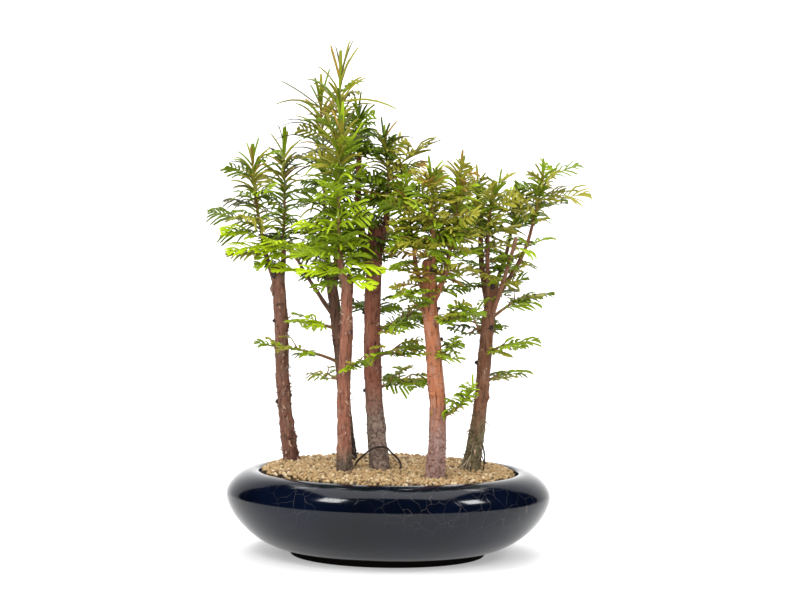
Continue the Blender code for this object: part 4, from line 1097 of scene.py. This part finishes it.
growChance = random.Random(71)
for massName, plan in plans.items():
    growMass(massName, plan, growChance)
for name, row in inner.items():
    growInner(name, row, growChance)
for massName, rows in signature.items():
    for share, azimuth, elevation, length, sag, lean, width, colour in rows:
        root, _ = along(plans[massName][0], share)
        azimuth, elevation = math.radians(azimuth), math.radians(elevation)
        growNeedle(root, azimuth, elevation, length, colour, growChance, sag, lean, width)
        usedBy[colour].add(massName)
for name, rows in accents.items():
    for share, azimuth, elevation, length, roll, colour in rows:
        root, _ = along(boughPath("bough_" + name), share)
        way = heading(math.radians(azimuth), math.radians(elevation))
        growFeather(("spray", root, way, roll, length, accentDroop), colour, growChance, limeFeather)

# How strands widen along their length: place and width of each ring, and how flat they are.
needleRings = [(0, 0.4), (0.14, 0.85), (0.40, 1.0), (0.76, 1.0), (0.95, 0.78), (1, 0.32)]
longRings = [(0, 0.45), (0.1, 0.85), (0.25, 1.0), (0.45, 1.0), (0.65, 0.98), (0.83, 0.90), (0.96, 0.70),
             (1, 0.25)]
flakeRings = [(0, 0.9), (0.35, 1.0), (0.75, 0.75), (1, 0.3)]
stalkRings = [(0, 1.3), (0.15, 1.1), (0.4, 1.0), (0.65, 0.8), (0.85, 0.6), (1, 0.35)]
needleMaster = strandMaster(3, needleRings, 0.46)
longMaster = strandMaster(3, longRings, 0.70)
flakeMaster = strandMaster(4, flakeRings, 0.28)
stalkMaster = strandMaster(4, stalkRings, 1.0)

# Slivers of bark that peel off: how many on each trunk and how they stand.
flakes = dict(count={"trunk_left": 300, "trunk_front_left": 130, "trunk_back_left": 110, "trunk_centre": 130,
                     "trunk_front_right": 80, "trunk_right": 190},
              seed=500, step=4.0, crowd=1.15, headFree=7, length=(2.0, 6.0), width=(0.9, 2.1),
              lift=(0.20, 0.75), slant=0.8, curl=0.40, paleShare=0.35)
paleLook = dict(barks["barkFrontLeft"], crack=(0.12, 0.07, 0.05), body=(0.32, 0.20, 0.14),
                ridge=(0.50, 0.36, 0.27), patch=(0.40, 0.30, 0.23), head=999, footShare=0.0)
paleFlakes = []


def growFlakes(name, spec, chance):
    # along the whole trunk, the upper or the lower end standing free
    path = resample(trunkPath(spec), flakes["step"])
    radii = trunkRadii(spec, path)
    rows = []
    for _ in range(flakes["count"][name]):
        index = int(chance.random() ** flakes["crowd"] * (len(path) - flakes["headFree"])) + 1
        out = heading(chance.uniform(0, 2 * math.pi), 0)
        slant = up.cross(out) * chance.uniform(-flakes["slant"], flakes["slant"])
        way = (up * chance.choice((-1, 1, 1)) + slant + out * chance.uniform(*flakes["lift"])).normalized()
        side = way.cross(out).normalized()
        length = chance.uniform(*flakes["length"])
        own = paleFlakes if chance.random() < flakes["paleShare"] else rows
        width = chance.uniform(*flakes["width"])
        curl = out * (length * flakes["curl"] * chance.random())
        addStrand(own, path[index] + out * radii[index], way, side, length, width, curl, Vector())
    material = bpy.data.materials[spec["bark"]]
    item, _ = arrayObject(name.replace("trunk", "flakes"), [layStrands(rows, flakeMaster)], material, 40)
    dress(item, [name])


for seed, (trunkName, trunkSpec) in enumerate(trunks.items()):
    growFlakes(trunkName, trunkSpec, random.Random(flakes["seed"] + seed))
paleBark = barkMaterial("paleFlake", paleLook)
paleItem, _ = arrayObject("paleFlakes", [layStrands(paleFlakes, flakeMaster)], paleBark, 40)
dress(paleItem, sorted(trunks))
total = 0
for tint, colour in needleColours.items():
    parts = []
    if strands[tint]:
        parts.append(layStrands(strands[tint], needleMaster))
    if longStrands[tint]:
        parts.append(layStrands(longStrands[tint], longMaster))
    material = needleMaterial("needle" + tint.title(), colour)
    item, count = arrayObject("needles_" + tint, parts, material, 50)
    dress(item, sorted(usedBy[tint]))
    total += count
    print("needles", tint, len(strands[tint]) + len(longStrands[tint]), "triangles", count)


# Stems of the masses and twigs: radii, and the share of a stem that is woody before it turns green.
stem = dict(first=1.9, last=0.8, woody=0.55, step=3.0, sides=8, twigRadii=(0.9, 0.8, 0.7, 0.5), twigSides=6)
stemLook = dict(barks["barkFrontRight"], body=(0.20, 0.10, 0.045), ridge=(0.34, 0.20, 0.10),
                patch=(0.20, 0.17, 0.05), patchShare=0.6, head=999, footShare=0.0, relief=0.3, streaks=700.0)
stalkLook = dict(scale=240.0, band=(0.35, 0.65), roughness=0.6, relief=0.0)
greenStemTints = ((0.17, 0.16, 0.03), (0.26, 0.24, 0.05))
stalkTints = ((0.10, 0.13, 0.02), (0.20, 0.17, 0.04))


def spottedMaterial(name, colours, look):
    material, tree, shader = emptyMaterial(name)
    grain = newNode(tree, "ShaderNodeGroup", node_tree=speckle)
    grain.inputs["Scale"].default_value = look["scale"]
    spots = ramp(tree, grain.outputs["Spots"], list(zip(look["band"], colours)))
    tree.links.new(spots, shader.inputs["Base Color"])
    shader.inputs["Roughness"].default_value = look["roughness"]
    if look["relief"]:
        bump(tree, shader, grain.outputs["Height"], look["relief"])
    return material


def makeStems():
    woody, fresh = bmesh.new(), bmesh.new()
    for path, _, _ in plans.values():
        fine = resample(path, stem["step"])
        last = len(fine) - 1
        radii = [stem["first"] + (stem["last"] - stem["first"]) * step / last for step in range(last + 1)]
        change = max(1, min(last - 1, round(last * stem["woody"])))
        layTube(woody, fine[:change + 1], radii[:change + 1], stem["sides"])
        layTube(fresh, fine[change:], radii[change:], stem["sides"])
    for start, end in twigs:
        line = [start, start.lerp(end, 0.33), start.lerp(end, 0.66), end]
        layTube(woody, line, stem["twigRadii"], stem["twigSides"])
    item = finishedObject("stems", woody, barkMaterial("stemBark", stemLook))
    dress(item, sorted(plans))
    item = finishedObject("greenStems", fresh, spottedMaterial("greenStem", greenStemTints, stalkLook))
    dress(item, sorted(plans))


makeStems()
stalkGreen = spottedMaterial("stalk", stalkTints, stalkLook)
stalkItem, stalkCount = arrayObject("stalks", [layStrands(stalks, stalkMaster)], stalkGreen)
dress(stalkItem, sorted(plans))
print("foliage triangles", total + stalkCount)


# Pot: one closed section spun round Z and pressed into an oval, as the solid is, in finer steps.
def sideArc(belly, end, low, high, steps):
    points = []
    for step in range(steps + 1):
        share = math.sin(math.pi / 2 * step / steps)
        swell = (1 - share ** pot["swell"]) ** (1 / pot["swell"])
        points.append((end + (belly - end) * swell, low + (high - low) * share))
    return points


def potSection():
    steps = pot["arcSteps"]
    belly = pot["belly"] - pot["wall"]
    inner = sideArc(belly, pot["foot"] + pot["wall"], pot["bellyHeight"], pot["floor"], steps)[::-1]
    inner += sideArc(belly, pot["lip"], pot["bellyHeight"], soil["edge"] - 3, steps)[1:]
    crest = [(pot["lip"] + out, pot["height"] - down) for out, down in pot["rim"]]
    outer = sideArc(pot["belly"], pot["crest"], pot["bellyHeight"], pot["height"], steps)[::-1]
    lower = sideArc(pot["belly"], pot["foot"] + 3, pot["bellyHeight"], pot["footHeight"], steps)[1:]
    foot = [(pot["foot"] + 0.6, pot["footHeight"] - 1.5), (pot["foot"], 1.0), (pot["foot"] - 0.8, 0), (0, 0)]
    return [(0, pot["floor"])] + inner + crest + outer + lower + foot


def spinSection(section, steps):
    bm = bmesh.new()
    verts = [bm.verts.new((radius * mm, 0, height * mm)) for radius, height in section]
    edges = [bm.edges.new(pair) for pair in zip(verts, verts[1:])]
    bmesh.ops.spin(bm, geom=verts + edges, cent=(0, 0, 0), axis=(0, 0, 1), angle=2 * math.pi, steps=steps,
                   use_merge=True, use_duplicate=False)
    bmesh.ops.remove_doubles(bm, verts=bm.verts, dist=0.00001)
    bmesh.ops.scale(bm, vec=(1, pot["depthRatio"], 1), verts=bm.verts)
    bmesh.ops.recalc_face_normals(bm, faces=bm.faces)
    return bm


# Near-black glaze with a breath of blue, a fine crackle, and bare clay round the foot, its colour darkened
# to near black as painted shade under the overhanging belly.
glazeLook = dict(deep=(0.0006, 0.0012, 0.0030), blue=(0.0012, 0.0028, 0.0095), cloud=14.0,
                 crackle=62.0, lineWidth=0.013, line=(0.045, 0.040, 0.036), waver=(60.0, 0.012),
                 patches=(9.0, 0.46, 0.60, 0.8), shoulder=(0.036, 0.050, 0.08),
                 # the bare clay colours are darkened to near black: painted shade under the overhanging
                 # belly
                 shadedClayDark=(0.003, 0.002, 0.002), clay=(0.006, 0.005, 0.004), clayEdge=(1.4, 2.4),
                 ragged=0.004, roughness=(0.11, 0.8), shine=(0.34, 0.02), groove=(0.05, 0.4))


def crackleLines(tree, place, height, look):
    # thin lines between cells with wavering edges, in patches, and fewer of them low on the side
    scale, shift = look["waver"]
    waver = {0: cloudy(tree, place, scale)["Color"], 1: (shift,) * 3, 2: place}
    bent = newNode(tree, "ShaderNodeVectorMath", waver, operation="MULTIPLY_ADD").outputs[0]
    cells = newNode(tree, "ShaderNodeTexVoronoi", {"Vector": bent, "Scale": look["crackle"]},
                    feature="DISTANCE_TO_EDGE").outputs["Distance"]
    lines = rescale(tree, cells, 0.0, look["lineWidth"], 1.0, 0.0)
    scale, low, high, most = look["patches"]
    patchy = rescale(tree, cloudy(tree, place, scale)["Fac"], low, high, 0.0, most)
    low, high, least = look["shoulder"]
    strength = maths(tree, "MULTIPLY", patchy, rescale(tree, height, low, high, least, 1.0))
    return lines, maths(tree, "MULTIPLY", lines, strength)


def glazeMaterial(look):
    material, tree, shader = emptyMaterial("glaze")
    place = objectPlace(tree)
    height = newNode(tree, "ShaderNodeSeparateXYZ", {0: place}).outputs["Z"]
    cloud = cloudy(tree, place, look["cloud"], 3.0)["Fac"]
    glaze = ramp(tree, cloud, [(0.35, look["deep"]), (0.68, look["blue"])])
    lines, seen = crackleLines(tree, place, height, look)
    glazed = blend(tree, seen, glaze, look["line"])
    ragged = maths(tree, "MULTIPLY_ADD", cloud, look["ragged"], height)
    low, high = ((pot["unglazed"] + edge) * mm for edge in look["clayEdge"])
    bare = rescale(tree, ragged, low, high, 1.0, 0.0)
    grain = newNode(tree, "ShaderNodeGroup", node_tree=speckle)
    # bare clay of the foot, darkened as painted shade under the belly
    clay = ramp(tree, grain.outputs["Spots"], [(0.35, look["shadedClayDark"]), (0.7, look["clay"])])
    tree.links.new(blend(tree, bare, glazed, clay), shader.inputs["Base Color"])
    tree.links.new(rescale(tree, bare, 0.0, 1.0, *look["roughness"]), shader.inputs["Roughness"])
    tree.links.new(rescale(tree, bare, 0.0, 1.0, *look["shine"]), shader.inputs["Specular IOR Level"])
    bump(tree, shader, rescale(tree, lines, 0.0, 1.0, 0.0, -1.0), *look["groove"])
    return material


potItem = finishedObject("glazedPot", spinSection(potSection(), pot["steps"]), glazeMaterial(glazeLook), 50)
dress(potItem, ["pot"])
print("pot turned and pressed")


# Soil: a bed that heaves up towards the left and back, under loose fired granules.
bed = dict(depth=9, gap=1.2, edgeDrop=2.6, ringDrop=2.4, rings=(0.97, 0.93, 0.85, 0.7, 0.5, 0.25, 0),
           sunk=1.6, steps=72, tints=((0.012, 0.007, 0.004), (0.04, 0.025, 0.014)))
granules = dict(pitch=4.3, rowStep=0.866, rowsMore=1.16, jitter=0.8, radius=(1.7, 2.45), layers=2,
                squash=(0.74, 1.0), rough=0.2, kinds=4, seed=5, sunk=1.3, edgeFall=4.0, lump=1.2,
                lumpScale=0.035, drop=(-0.8, 0.9), lower=0.6, layerLift=(-0.2, 0.9), skipped=0.55,
                rimGap=1.9, trunkShare=0.92)
grainLook = dict(scale=700.0, band=(0.32, 0.68), roughness=0.95, relief=0.35)
grainTints = {
    "Tan": (12, ((0.235, 0.15, 0.068), (0.40, 0.285, 0.145))),
    "Pale": (3, ((0.38, 0.28, 0.16), (0.56, 0.44, 0.28))),
    "Ochre": (6, ((0.25, 0.145, 0.062), (0.38, 0.25, 0.118))),
    "Dark": (2, ((0.09, 0.056, 0.030), (0.19, 0.125, 0.07))),
}


def soilHeight(x, y):
    # the solid's heaped top, less the size of a granule, with low lumps
    out = math.hypot(x, y / pot["depthRatio"]) / pot["lip"]
    level = groundLevel(x, y) - soil["footRise"] - granules["sunk"]
    if out > soil["levelShare"]:
        level -= (out - soil["levelShare"]) / (1 - soil["levelShare"]) * granules["edgeFall"]
    scale = granules["lumpScale"]
    lumps = noise.noise(Vector((x * scale, y * scale, 3.1))) * granules["lump"]
    return level + lumps * max(0.0, 1 - out ** 2)


def soilBed():
    low, edge = soil["top"] - bed["depth"], pot["lip"] - bed["gap"]
    section = [(0, low), (edge, low), (edge, soil["edge"] - bed["edgeDrop"])]
    section += [(edge * share, soil["edge"] - bed["ringDrop"]) for share in bed["rings"]]
    bm = spinSection(section, bed["steps"])
    for vert in bm.verts:
        if vert.co.z > (low + 0.1) * mm:
            vert.co.z = (soilHeight(vert.co.x / mm, vert.co.y / mm) - bed["sunk"]) * mm
    return bm


def grainMasters():
    # a few rough pebbles from icospheres
    masters = []
    for index in range(granules["kinds"]):
        bm = bmesh.new()
        bmesh.ops.create_icosphere(bm, subdivisions=2, radius=1)
        for vert in bm.verts:
            vert.co *= 1 + granules["rough"] * noise.noise(vert.co * 1.7 + Vector((index * 9.1, 0, 0))) * 2
        masters.append(asArrays(bm))
    return masters


def dealGranules():
    # place, radius, three squashed sizes, turn and kind of every granule, by tint
    chance = random.Random(granules["seed"])
    share = granules["trunkShare"]
    feet = [(Vector((*spec["foot"], 0)), spec["radii"][0] * share) for spec in trunks.values()]
    dealt = dealer([(name, weight) for name, (weight, _) in grainTints.items()], chance)
    rows = {name: [] for name in grainTints}
    pitch, jitter = granules["pitch"], granules["jitter"]
    reach = pot["lip"] - granules["rimGap"]
    across = int(2 * reach / pitch) + 2
    lines = int(across * granules["rowsMore"])
    for layer, column, line in itertools.product(range(granules["layers"]), range(across), range(lines)):
        x = -reach + (column + 0.5 * (line % 2) + 0.33 * layer) * pitch + chance.uniform(-jitter, jitter)
        y = -reach + (line * granules["rowStep"] + 0.5 * layer) * pitch + chance.uniform(-jitter, jitter)
        radius = chance.uniform(*granules["radius"])
        turn = [chance.gauss(0, 1) for _ in range(4)]
        squash = [chance.uniform(*granules["squash"]) for _ in range(3)]
        drop = chance.uniform(*granules["drop"])
        kind = chance.randrange(granules["kinds"])
        tint = dealt()
        if math.hypot(x, y / pot["depthRatio"]) > reach - radius:
            continue
        if layer and chance.random() < granules["skipped"]:
            continue
        if any((Vector((x, y, 0)) - foot).length < size for foot, size in feet):
            continue
        z = soilHeight(x, y) + drop - granules["lower"] + granules["layerLift"][min(layer, 1)]
        rows[tint].append((x, y, z, radius, *squash, *turn, kind))
    return {tint: np.array(table) for tint, table in rows.items()}


def layGranules(table, master):
    # one kind of pebble turned, squashed and laid at each row of the table, in metres
    points, faces = master
    w, a, b, c = (table[:, 7:11] / np.linalg.norm(table[:, 7:11], axis=1)[:, None]).T
    cells = [1 - 2 * (b * b + c * c), 2 * (a * b - c * w), 2 * (a * c + b * w),
             2 * (a * b + c * w), 1 - 2 * (a * a + c * c), 2 * (b * c - a * w),
             2 * (a * c - b * w), 2 * (b * c + a * w), 1 - 2 * (a * a + b * b)]
    turn = np.stack(cells, 1).reshape(-1, 3, 3)
    shaped = points[None] * table[:, None, 4:7] * table[:, None, 3:4]
    laid = np.einsum("nij,nkj->nki", turn, shaped) + table[:, None, 0:3]
    numbers = faces[None] + (np.arange(len(table)) * len(points))[:, None, None]
    return laid.reshape(-1, 3) * mm, numbers.reshape(-1, 3)


def makeSoil():
    item = finishedObject("soilBed", soilBed(), spottedMaterial("bedSoil", bed["tints"], grainLook))
    dress(item, ["soil"])
    masters = grainMasters()
    for tint, table in dealGranules().items():
        parts = [layGranules(table[table[:, 11] == kind], master) for kind, master in enumerate(masters)]
        material = spottedMaterial("granule" + tint, grainTints[tint][1], grainLook)
        item, count = arrayObject("granules" + tint, parts, material)
        dress(item, ["soil"])
        print("granules", tint, len(table), "triangles", count)


makeSoil()


# Looped root in front of the centre trunk.
loop = dict(radius=1.1, step=1.2, sides=14, uneven=0.12, relief=0.14,
            body=(0.028, 0.018, 0.013), ridge=(0.075, 0.05, 0.036),
            arch=[(-34, -24, 0), (-30.7, -25, 5.5), (-24.1, -26, 11.8), (-18.2, -27, 17),
                  (-12.2, -28, 19.6), (-2.8, -29, 20.1), (3.1, -29, 14.8), (9.0, -28, 9.3),
                  (12.2, -28, 3.5), (11.5, -31, 0)])


def makeLoopedRoot():
    path = [Vector((x, y, groundLevel(x, y) + loop["radius"] + z)) for x, y, z in loop["arch"]]
    fine = resample(path, loop["step"])
    bm = bmesh.new()
    radii = [loop["radius"] * (1 + loop["uneven"] * noise.noise(point * 0.3)) for point in fine]
    layTube(bm, fine, radii, loop["sides"], barkRelief([], 3.0, loop["relief"]))
    look = dict(cutWoodLook, body=loop["body"], ridge=loop["ridge"], relief=0.3)
    item = finishedObject("loopedRoot", bm, barkMaterial("rootBark", look))
    dress(item, ["looped_root"])


makeLoopedRoot()


# Root hairs at the right trunk's foot: azimuth, height where they leave the bark, how far out they reach
# the ground, how far they stand off, radius. The pale ones are young, the dark one is an old air root.
rootHairs = dict(trunk="trunk_right", sides=6, step=1.2, inside=0.6, sunk=2.5, thinning=(1.1, 0.5),
                 pale=[(-112, 13, 6.5, 0.6, 0.5), (-124, 9, 8.5, 0.8, 0.6), (-138, 6, 7.5, 0.6, 0.5),
                       (-98, 7, 4.5, 0.5, 0.4), (-106, 27, 1.5, 0.2, 0.35)],
                 paleLook=dict(body=(0.34, 0.27, 0.18), ridge=(0.62, 0.54, 0.42)),
                 dark=[(-22, 25, 3.0, 2.6, 0.9), (-8, 14, 3.5, 1.4, 0.6)],
                 darkLook=dict(body=(0.030, 0.020, 0.014), ridge=(0.085, 0.056, 0.038)))


def makeRootHairs(name, rows, look):
    spec = trunks[rootHairs["trunk"]]
    trunk = trunkPath(spec, 120)
    radii = trunkRadii(spec, trunk)
    ground = groundLevel(*spec["foot"])
    thickest, loss = rootHairs["thinning"]
    bm = bmesh.new()
    for azimuth, height, far, off, radius in rows:
        out = heading(math.radians(azimuth), 0)
        step = min(range(len(trunk)), key=lambda index: abs(trunk[index].z - ground - height))
        start = trunk[step] + out * (radii[step] - rootHairs["inside"])
        end = Vector((*spec["foot"], 0)) + out * (radii[0] + far)
        end.z = groundLevel(end.x, end.y) - rootHairs["sunk"]
        arch = [bezier(start, end, out * off * 2 + up * off, share / 9) for share in range(10)]
        fine = resample(arch, rootHairs["step"])
        thin = [radius * (thickest - loss * index / len(fine)) for index in range(len(fine))]
        layTube(bm, fine, thin, rootHairs["sides"])
    item = finishedObject(name, bm, barkMaterial(name, dict(cutWoodLook, relief=0.2, **look)))
    dress(item, [rootHairs["trunk"]])


makeRootHairs("paleRootHairs", rootHairs["pale"], rootHairs["paleLook"])
makeRootHairs("airRoots", rootHairs["dark"], rootHairs["darkLook"])
print("soil laid and roots set")


# Studio: a pale floor that sweeps up behind and glows a little, painted light that fills in the shadows
# round the pot,
# an even white sky and five softboxes: a small one on either side of the camera, two large ones overhead and
# a fill in front. Each has its place, size, watts, the point that it faces, and whether the glaze mirrors
# it.
studio = dict(floorTone=0.54, floorGrain=0.01, floorGlow=0.33, worldLight=0.75,
              sweep=dict(front=-3.0, bend=1.2, radius=1.3, top=4.0, half=4.0, steps=12),
              boxes=[((-0.76, -0.85, 1.30), 0.34, 8.0, (0, 0, 0.2), True),
                     ((1.20, -0.66, 1.22), 0.34, 8.0, (0, 0, 0.2), True),
                     ((0.0, 0.1, 2.3), 2.4, 44.0, (0, 0, 0), True),
                     ((0.0, 0.7, 1.9), 1.6, 60.0, (0, 2.5, 0.8), True),
                     ((-0.3, -1.7, 1.3), 1.6, 42.0, (0, 0, 0.2), False)])


def paperMaterial():
    material, tree, shader = emptyMaterial("paper")
    tone = studio["floorTone"]
    grain = cloudy(tree, objectPlace(tree), 3.0)["Fac"]
    pale = ramp(tree, grain, [(0.3, (tone,) * 3), (0.7, (tone + studio["floorGrain"],) * 3)])
    tree.links.new(pale, shader.inputs["Base Color"])
    # the floor glows a little: painted light that fills in the shadows round the pot
    shader.inputs["Emission Color"].default_value = (1, 1, 1, 1)
    shader.inputs["Emission Strength"].default_value = studio["floorGlow"]
    shader.inputs["Roughness"].default_value = 0.9
    return material


def layFloor():
    # the floor's line from front to back, drawn out sideways, a hair below the pot's foot
    bend, radius, steps = (studio["sweep"][key] for key in ("bend", "radius", "steps"))
    turns = [math.pi / 2 * step / steps for step in range(1, steps + 1)]
    line = [(studio["sweep"]["front"], 0.0), (bend, 0.0)]
    line += [(bend + radius * math.sin(turn), radius - radius * math.cos(turn)) for turn in turns]
    line += [(bend + radius, studio["sweep"]["top"])]
    half = studio["sweep"]["half"]
    bm = bmesh.new()
    verts = [bm.verts.new((-half, y, z - 0.0004)) for y, z in line]
    edges = [bm.edges.new(pair) for pair in zip(verts, verts[1:])]
    grown = bmesh.ops.extrude_edge_only(bm, edges=edges)
    moved = [item for item in grown["geom"] if isinstance(item, bmesh.types.BMVert)]
    bmesh.ops.translate(bm, verts=moved, vec=(2 * half, 0, 0))
    bmesh.ops.recalc_face_normals(bm, faces=bm.faces)
    floor = finishedObject("floor", bm, paperMaterial())


def makeStudio():
    layFloor()
    world = bpy.data.worlds.new("softSky")
    world.use_nodes = True
    sky = world.node_tree.nodes["Background"]
    sky.inputs["Color"].default_value = (1, 1, 1, 1)
    sky.inputs["Strength"].default_value = studio["worldLight"]
    world.cycles_visibility.glossy = False  # the glaze mirrors the floor and the softboxes only
    bpy.context.scene.world = world
    for index, (place, size, power, target, mirrored) in enumerate(studio["boxes"]):
        data = bpy.data.lights.new(f"softbox{index}", "AREA")
        data.shape = "SQUARE"
        data.size = size
        data.energy = power
        lamp = bpy.data.objects.new(f"softbox{index}", data)
        aim = Vector(target) - Vector(place)
        lamp.matrix_world = Matrix.Translation(place) @ aim.to_track_quat("-Z", "Y").to_matrix().to_4x4()
        lamp.visible_glossy = mirrored
        bpy.context.scene.collection.objects.link(lamp)
    view = bpy.context.scene.view_settings
    view.view_transform = "Standard"
    view.look = "None"


makeStudio()
print("studio lit")
